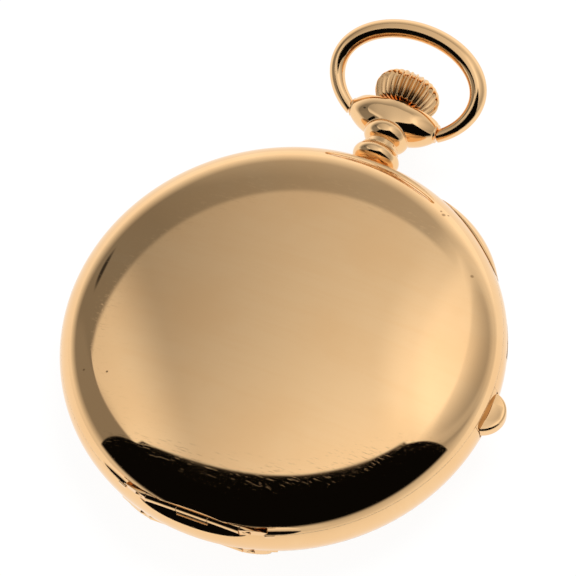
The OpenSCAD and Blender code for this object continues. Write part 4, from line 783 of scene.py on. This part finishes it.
def makeTab():
    # a half-round thumb tab with rounded edges and a shallow hollow, on a foot and a stem
    reach = tab["outer"] - tab["inner"]
    radius = (tab["width"] ** 2 / 4 + reach ** 2) / (2 * reach)
    centre = tab["outer"] - radius
    half = math.asin(tab["width"] / 2 / radius)
    low = midHeight + tab["rise"] - tab["height"] / 2
    top = low + tab["height"]
    shell = bmesh.new()

    def section(station, turn):
        # the arc from corner to corner and the straight side back, drawn in at the rounded edges
        height, inset = station
        share = turn / math.pi
        if share <= 1:
            angle = half * (1 - 2 * share)
            return (centre + (radius - inset) * math.cos(angle), (radius - inset) * math.sin(angle), height)
        corner = (radius - inset) * math.sin(half)
        return (centre + (radius - inset) * math.cos(half), corner * (2 * share - 3), height)

    soft = tab["round"]
    stations = []
    for turn in spread(0, math.pi / 2, 8):
        stations.append((low + soft * (1 - math.cos(turn)), soft * (1 - math.sin(turn))))
    for height, inset in stations[::-1]:
        stations.append((low + top - height, inset))
    loft(shell, 240, stations, section)
    ball = bmesh.new()
    over = Vector((tab["inner"] + tab["hollowAlong"], 0, top + tab["hollowOver"])) * mm
    bmesh.ops.create_uvsphere(ball, u_segments=96, v_segments=64, radius=tab["hollow"] * mm,
                              matrix=Matrix.Translation(over))
    drop = midHeight - tab["drop"]
    foot = block((tab["inner"], -tab["stem"], drop - tab["stem"]),
                 (tab["inner"] + tab["stem"], tab["stem"], midHeight + tab["rise"]))
    stem = bar(tab["stem"], tab["stemEnd"], tab["inner"] + 0.25, 0, drop, 48)
    whole = carve(shell, [("DIFFERENCE", ball), ("UNION", foot), ("UNION", stem)])
    made = finishMesh(whole, "thumbTab", "pusher", goldPlain, sharp=25.0)
    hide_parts("chronograph_pusher")


def makeLedge():
    # the band's own surface closing over the seat above the tab
    shell = bmesh.new()

    def section(height, turn):
        reach = rimAt(height)
        half = math.asin(tab["ledgeHalf"] / reach)
        share = turn / math.pi
        if share <= 1:
            angle = half * (1 - 2 * share)
            return (reach * math.cos(angle), reach * math.sin(angle), midHeight + height)
        return (tab["ledgeIn"], tab["ledgeHalf"] * (2 * share - 3), midHeight + height)

    loft(shell, 80, spread(tab["ledgeLow"], tab["ledgeHigh"], 8), section)
    finishMesh(shell, "seatLedge", "case", goldPlain, sharp=30.0)


printing = {
    "dialFront": 10.05,
    "thick": 0.012,
    "numberRing": 16.0,
    "numberSize": 4.6,
    "minutes": {"place": (0.0, 0.0), "height": 10.05, "outer": 20.3, "long": 0.7, "widths": (0.09, 0.26)},
    "seconds": {"place": (10.2, 0.0), "height": 9.83, "outer": 4.2, "long": 0.45, "widths": (0.05, 0.12)},
    "underSeconds": 6,
}


def ticks(shell, track):
    # 60 strokes round a centre, every fifth one wider and longer
    for index in range(60):
        fifth = index % 5 == 0
        wide = track["widths"][1 if fifth else 0]
        long = track["long"] * (1.15 if fifth else 1.0)
        place = Matrix.Translation(Vector((*track["place"], track["height"] + printing["thick"] / 2)) * mm)
        place = place @ Matrix.Rotation(math.tau * index / 60, 4, "Z")
        place = place @ Matrix.Translation(Vector((track["outer"] - long / 2, 0, 0)) * mm)
        place = place @ Matrix.Diagonal((long * mm, wide * mm, printing["thick"] * mm, 1))
        bmesh.ops.create_cube(shell, size=1.0, matrix=place)


def addNumber(shell, hour):
    # one number of the dial as a thin solid, its top away from the seconds circle
    data = bpy.data.curves.new("number", "FONT")
    data.body = str(hour)
    data.size = printing["numberSize"] * mm
    data.extrude = printing["thick"] / 2 * mm
    data.align_x = "CENTER"
    data.align_y = "CENTER"
    holder = bpy.data.objects.new("number", data)
    bpy.context.scene.collection.objects.link(holder)
    angle = math.radians(180 - 30 * hour)
    spot = Vector((printing["numberRing"] * math.cos(angle), printing["numberRing"] * math.sin(angle),
                   printing["dialFront"] + printing["thick"] / 2)) * mm
    flat = bpy.data.meshes.new_from_object(holder.evaluated_get(bpy.context.evaluated_depsgraph_get()))
    flat.transform(Matrix.Translation(spot) @ Matrix.Rotation(math.pi / 2, 4, "Z"))
    shell.from_mesh(flat)
    bpy.data.objects.remove(holder)
    bpy.data.curves.remove(data)
    bpy.data.meshes.remove(flat)


def makePrinting():
    # black numbers and strokes on the enamel, with 12 opposite the seconds circle
    material, finish = newMaterial("dialInk")
    cloud = finish.noise(finish.place(), 900.0, 2.0)
    ink = finish.mix(cloud, rgb(20, 19, 22), rgb(34, 32, 36))
    finish.surface({"Base Color": ink, "Roughness": 0.25 + 0.1 * cloud})
    shell = bmesh.new()
    ticks(shell, printing["minutes"])
    ticks(shell, printing["seconds"])
    for hour in range(1, 13):
        if hour != printing["underSeconds"]:
            addNumber(shell, hour)
    finishMesh(shell, "dialPrinting", "case", material, sharp=30.0)


makeHead()
makeCrown()
makeBow()
makeCover("frontCoverSkin", "front_cover", "front_cover", goldCover)
makeCover("backCoverSkin", "back_cover", "back_cover", goldPlain, back=True)
makeSlide()
makeTab()
makeLedge()
makePrinting()
print("neck, crown, bow, covers, slide, tab and dial printing made")

# camera, in metres
cameraPlace = {
    "target": (0.0, 0.0, 0.00745),
    "distance": 0.6,
    "azimuth": math.radians(33.6),
    "elevation": math.radians(60.265),
    "roll": math.radians(-11.023),
    "lens": 301.44,
    "shift": (0.0085, 0.0994),
}


def makeCamera(place):
    turn, rise, roll = place["azimuth"], place["elevation"], place["roll"]
    back = Vector((math.sin(turn) * math.cos(rise), -math.cos(turn) * math.cos(rise), math.sin(rise)))
    side = Vector((math.cos(turn), math.sin(turn), 0))
    top = back.cross(side)
    right = math.cos(roll) * side + math.sin(roll) * top
    up = math.cos(roll) * top - math.sin(roll) * side
    data = bpy.data.cameras.new("camera")
    data.lens = place["lens"]
    data.sensor_width = 36
    data.shift_x, data.shift_y = place["shift"]
    data.clip_start = 0.01
    made = bpy.data.objects.new("camera", data)
    spot = Vector(place["target"]) + back * place["distance"]
    made.matrix_world = Matrix.Translation(spot) @ Matrix((right, up, back)).transposed().to_4x4()
    bpy.context.scene.collection.objects.link(made)
    bpy.context.scene.camera = made


makeCamera(cameraPlace)
print("camera placed")

# studio: a pale floor, a soft lamp and a light tent that only reflections see
studio = {
    "towards": (math.sin(cameraPlace["azimuth"]), -math.cos(cameraPlace["azimuth"]), 0.0),
    "across": (math.cos(cameraPlace["azimuth"]), math.sin(cameraPlace["azimuth"]), 0.0),
    "floorRadius": 2.5,
    "floorGlow": 1.06,
    "floorGlowShare": 0.86,
    "mirroredGlow": 1.03,
    "mirroredShare": 0.95,
    "mirroredShade": 0.36,
    "shadeFrom": (0.02, 0.1),
    "lampPlace": (0.1, 0.35, 0.7),
    "lampSize": 0.5,
    "lampPower": 3.0,
}

# how bright the tent is, by direction: u to the camera, v to its right, w up
tent = {
    "radius": 0.1,
    "roof": (0.925, 0.75, 0.33),  # powers of u
    "roofAcross": (0.55, -0.5),  # for v, and for its square on the right
    "roofEdge": (0.652, 0.165, 0.006),  # height, rise to the sides, softness
    "leftGlow": (0.4, 0.3, 0.46),  # strength, where it starts, where it is full
    "rearWall": (0.32, 0.25, 0.235),  # middle, rise to the right, least
    "rightSeam": (0.77, 1.044),  # lean and place
    "rightSoft": (-0.08, 0.03),
    "rightWall": (0.49, -0.52, 1.235),  # powers of w
    "rightFall": (0.4, 1.07),  # fall to the camera's side, most
    "stripe": 0.15,
    "stripeIn": (0.0, 0.05),
    "stripeOut": (0.15, 0.09),
    "leftSeam": (0.5, 0.9, 0.96),  # lean, start and end
    "leftWall": 0.27,
    "spot": (-145, 36, 5),  # turn, rise and reach of a dark spot, in degrees
    "spotDepth": 0.85,
    "glowPlace": (0.423, -0.906),  # to the right and to the camera
    "glowTop": (0.22, 0.12, 0.63),  # in front, more of it on the left, at the back
    "glowSoft": (0.22, 0.16),  # in front, more of it at the back
    "glowLight": (1.15, 0.42, 0.16),  # most, less to the camera, less to the left
    "hoodLight": 0.003,
    "hoodMiddle": (0.0785, 0.101, -0.845),  # powers of v, as the next two
    "hoodLeft": (-0.296, -0.37),
    "hoodRight": (0.034, 1.27, -0.35),
    "hoodRightFrom": 0.291,
    "hoodSoft": 0.004,
    "hoodLow": (0.11, 0.22),
}


def powers(value, terms):
    # a sum of a value's powers, the plain number first
    total = terms[0]
    raised = 1.0
    for term in terms[1:]:
        raised = value * raised
        total = total + term * raised
    return total


def darkSpot(finish, way):
    # 1 at one direction, turned from the camera's side, fading out at the reach
    turn, rise, reach = [math.radians(angle) for angle in tent["spot"]]
    flat = [math.cos(turn) * a + math.sin(turn) * b for a, b in zip(studio["towards"], studio["across"])]
    aim = (flat[0] * math.cos(rise), flat[1] * math.cos(rise), math.sin(rise))
    return finish.dot(way, aim).ramp(math.cos(reach), 1.0)


def tentLight(finish, way):
    u = finish.dot(way, studio["towards"])
    v = finish.dot(way, studio["across"])
    w = finish.dot(way, (0.0, 0.0, 1.0))
    level = (1 - w * w).most(0.0001) ** 0.5
    # sine and cosine of the turn round the tent
    s = v / level
    c = u / level
    left = s.ramp(0.15, -0.15)
    # a pale roof, a wall at the back and one on each side
    right = v.most(0.0)
    strength, start, full = tent["leftGlow"]
    roof = powers(u, tent["roof"]) + tent["roofAcross"][0] * v + tent["roofAcross"][1] * right * right
    roof = roof + strength * left * (-v).ramp(start, full)
    middle, across, least = tent["rearWall"]
    rearWall = (middle + across * s).most(least)
    height, rise, soft = tent["roofEdge"]
    isRoof = (w - height - rise * s * s).ramp(-soft, soft)
    light = rearWall * (1 - isRoof) + roof * isRoof
    seam = v.size() + tent["rightSeam"][0] * w - tent["rightSeam"][1]
    fall, most = tent["rightFall"]
    rightWall = powers(w, tent["rightWall"]) * (1.0 - fall * c).least(most)
    rightWall = rightWall + tent["stripe"] * seam.ramp(*tent["stripeIn"]) * seam.ramp(*tent["stripeOut"])
    onRight = (1 - left) * seam.ramp(*tent["rightSoft"])
    light = light * (1 - onRight) + rightWall * onRight
    lean, start, full = tent["leftSeam"]
    onLeft = left * (v.size() + lean * w).ramp(start, full)
    light = light * (1 - onLeft) + tent["leftWall"] * onLeft
    light = light * (1 - tent["spotDepth"] * darkSpot(finish, way))
    # the glow of the floor's far end, low at the back
    across, towards = tent["glowPlace"]
    back = across * s + towards * c
    front, more, rear = tent["glowTop"]
    top = front + more * left
    top = top + (rear - top) * back.ramp(0.5 - 0.3 * left, 1.0)
    front, more = tent["glowSoft"]
    glow = ((top - w) / (front + more * back.ramp(0.0, 0.9))).clamped()
    most, forward, leftward = tent["glowLight"]
    low = most - forward * c.ramp(-0.7, 1.0) - leftward * (-s).most(0.0)
    light = light * (1 - glow) + low * glow
    # the dark hood over the camera, with a crisp upper edge and rounded ends
    edge = powers(v, tent["hoodMiddle"]).most(powers(v, tent["hoodLeft"]))
    edge = edge.most(powers(v - tent["hoodRightFrom"], tent["hoodRight"]))
    hood = (u - edge).ramp(-tent["hoodSoft"], tent["hoodSoft"]) * w.ramp(*tent["hoodLow"])
    return light * (1 - hood) + tent["hoodLight"] * hood


def makeTent():
    shell = bmesh.new()
    bmesh.ops.create_uvsphere(shell, u_segments=96, v_segments=48, radius=tent["radius"])
    bmesh.ops.bisect_plane(shell, geom=shell.verts[:] + shell.edges[:] + shell.faces[:], dist=0.0,
                           plane_co=(0, 0, 0), plane_no=(0, 0, -1), clear_outer=True)
    bmesh.ops.reverse_faces(shell, faces=shell.faces[:])
    made = meshObject(shell, "lightTent")
    made.data.shade_smooth()
    material, finish = newMaterial("tentCloth")
    here = finish.node("ShaderNodeTexCoord", output="Object")
    way = finish.node("ShaderNodeVectorMath", {"operation": "NORMALIZE"}, [here])
    tone = finish.mix(tentLight(finish, way), (0, 0, 0, 1), (1, 1, 1, 1))
    tone.socket.node.clamp_factor = False
    glow = finish.node("ShaderNodeEmission", None, [tone, 1.0])
    finish.node("ShaderNodeOutputMaterial", None, [glow])
    made.data.materials.append(material)
    # only reflections see the tent, so that it hides nothing and shades nothing
    made.visible_camera = False
    made.visible_diffuse = False
    made.visible_shadow = False
    made.visible_transmission = False


def lightPath(finish, name):
    return finish.node("ShaderNodeLightPath", output=name)


def seenDirectly(finish):
    # 1 for the camera's own rays and for those behind glass
    return (lightPath(finish, "Is Camera Ray") + lightPath(finish, "Is Transmission Ray")).clamped()


def makeWorld():
    world = bpy.data.worlds.new("studio")
    bpy.context.scene.world = world
    world.use_nodes = True
    finish = Finish(world.node_tree)
    strength = seenDirectly(finish).ramp(0, 1, 0.7, 1.0)
    shade = finish.node("ShaderNodeBackground", None, [(1, 1, 1, 1), strength])
    finish.node("ShaderNodeOutputWorld", None, [shade])


def makeFloor():
    sheet = bmesh.new()
    bmesh.ops.create_circle(sheet, cap_ends=True, segments=96, radius=studio["floorRadius"])
    made = meshObject(sheet, "floor")
    material, finish = newMaterial("paleFloor")
    here = finish.node("ShaderNodeTexCoord", output="Object")
    near = finish.dot(here, studio["towards"]).ramp(*studio["shadeFrom"])
    tone = finish.mix(near * studio["mirroredShade"], (1, 1, 1, 1), (0, 0, 0, 1))
    lit = finish.node("ShaderNodeBsdfDiffuse", None, [rgb(238, 236, 232)])
    white = finish.node("ShaderNodeEmission", None, [(1, 1, 1, 1), studio["floorGlow"]])
    mirrored = finish.node("ShaderNodeEmission", None, [tone, studio["mirroredGlow"]])
    share = seenDirectly(finish) * studio["floorGlowShare"]
    shader = finish.node("ShaderNodeMixShader", None, [share, lit, white])
    share = lightPath(finish, "Is Glossy Ray") * studio["mirroredShare"]
    shader = finish.node("ShaderNodeMixShader", None, [share, shader, mirrored])
    finish.node("ShaderNodeOutputMaterial", None, [shader])
    made.data.materials.append(material)


def makeLamp():
    data = bpy.data.lights.new("softLamp", "AREA")
    data.shape = "DISK"
    data.size = studio["lampSize"]
    data.energy = studio["lampPower"]
    made = bpy.data.objects.new("softLamp", data)
    spot = Vector(studio["lampPlace"])
    made.matrix_world = Matrix.Translation(spot) @ spot.to_track_quat("Z", "Y").to_matrix().to_4x4()
    made.visible_glossy = False
    bpy.context.scene.collection.objects.link(made)


makeWorld()
makeTent()
makeFloor()
makeLamp()
bpy.context.scene.view_settings.view_transform = "Standard"
print("studio ready")
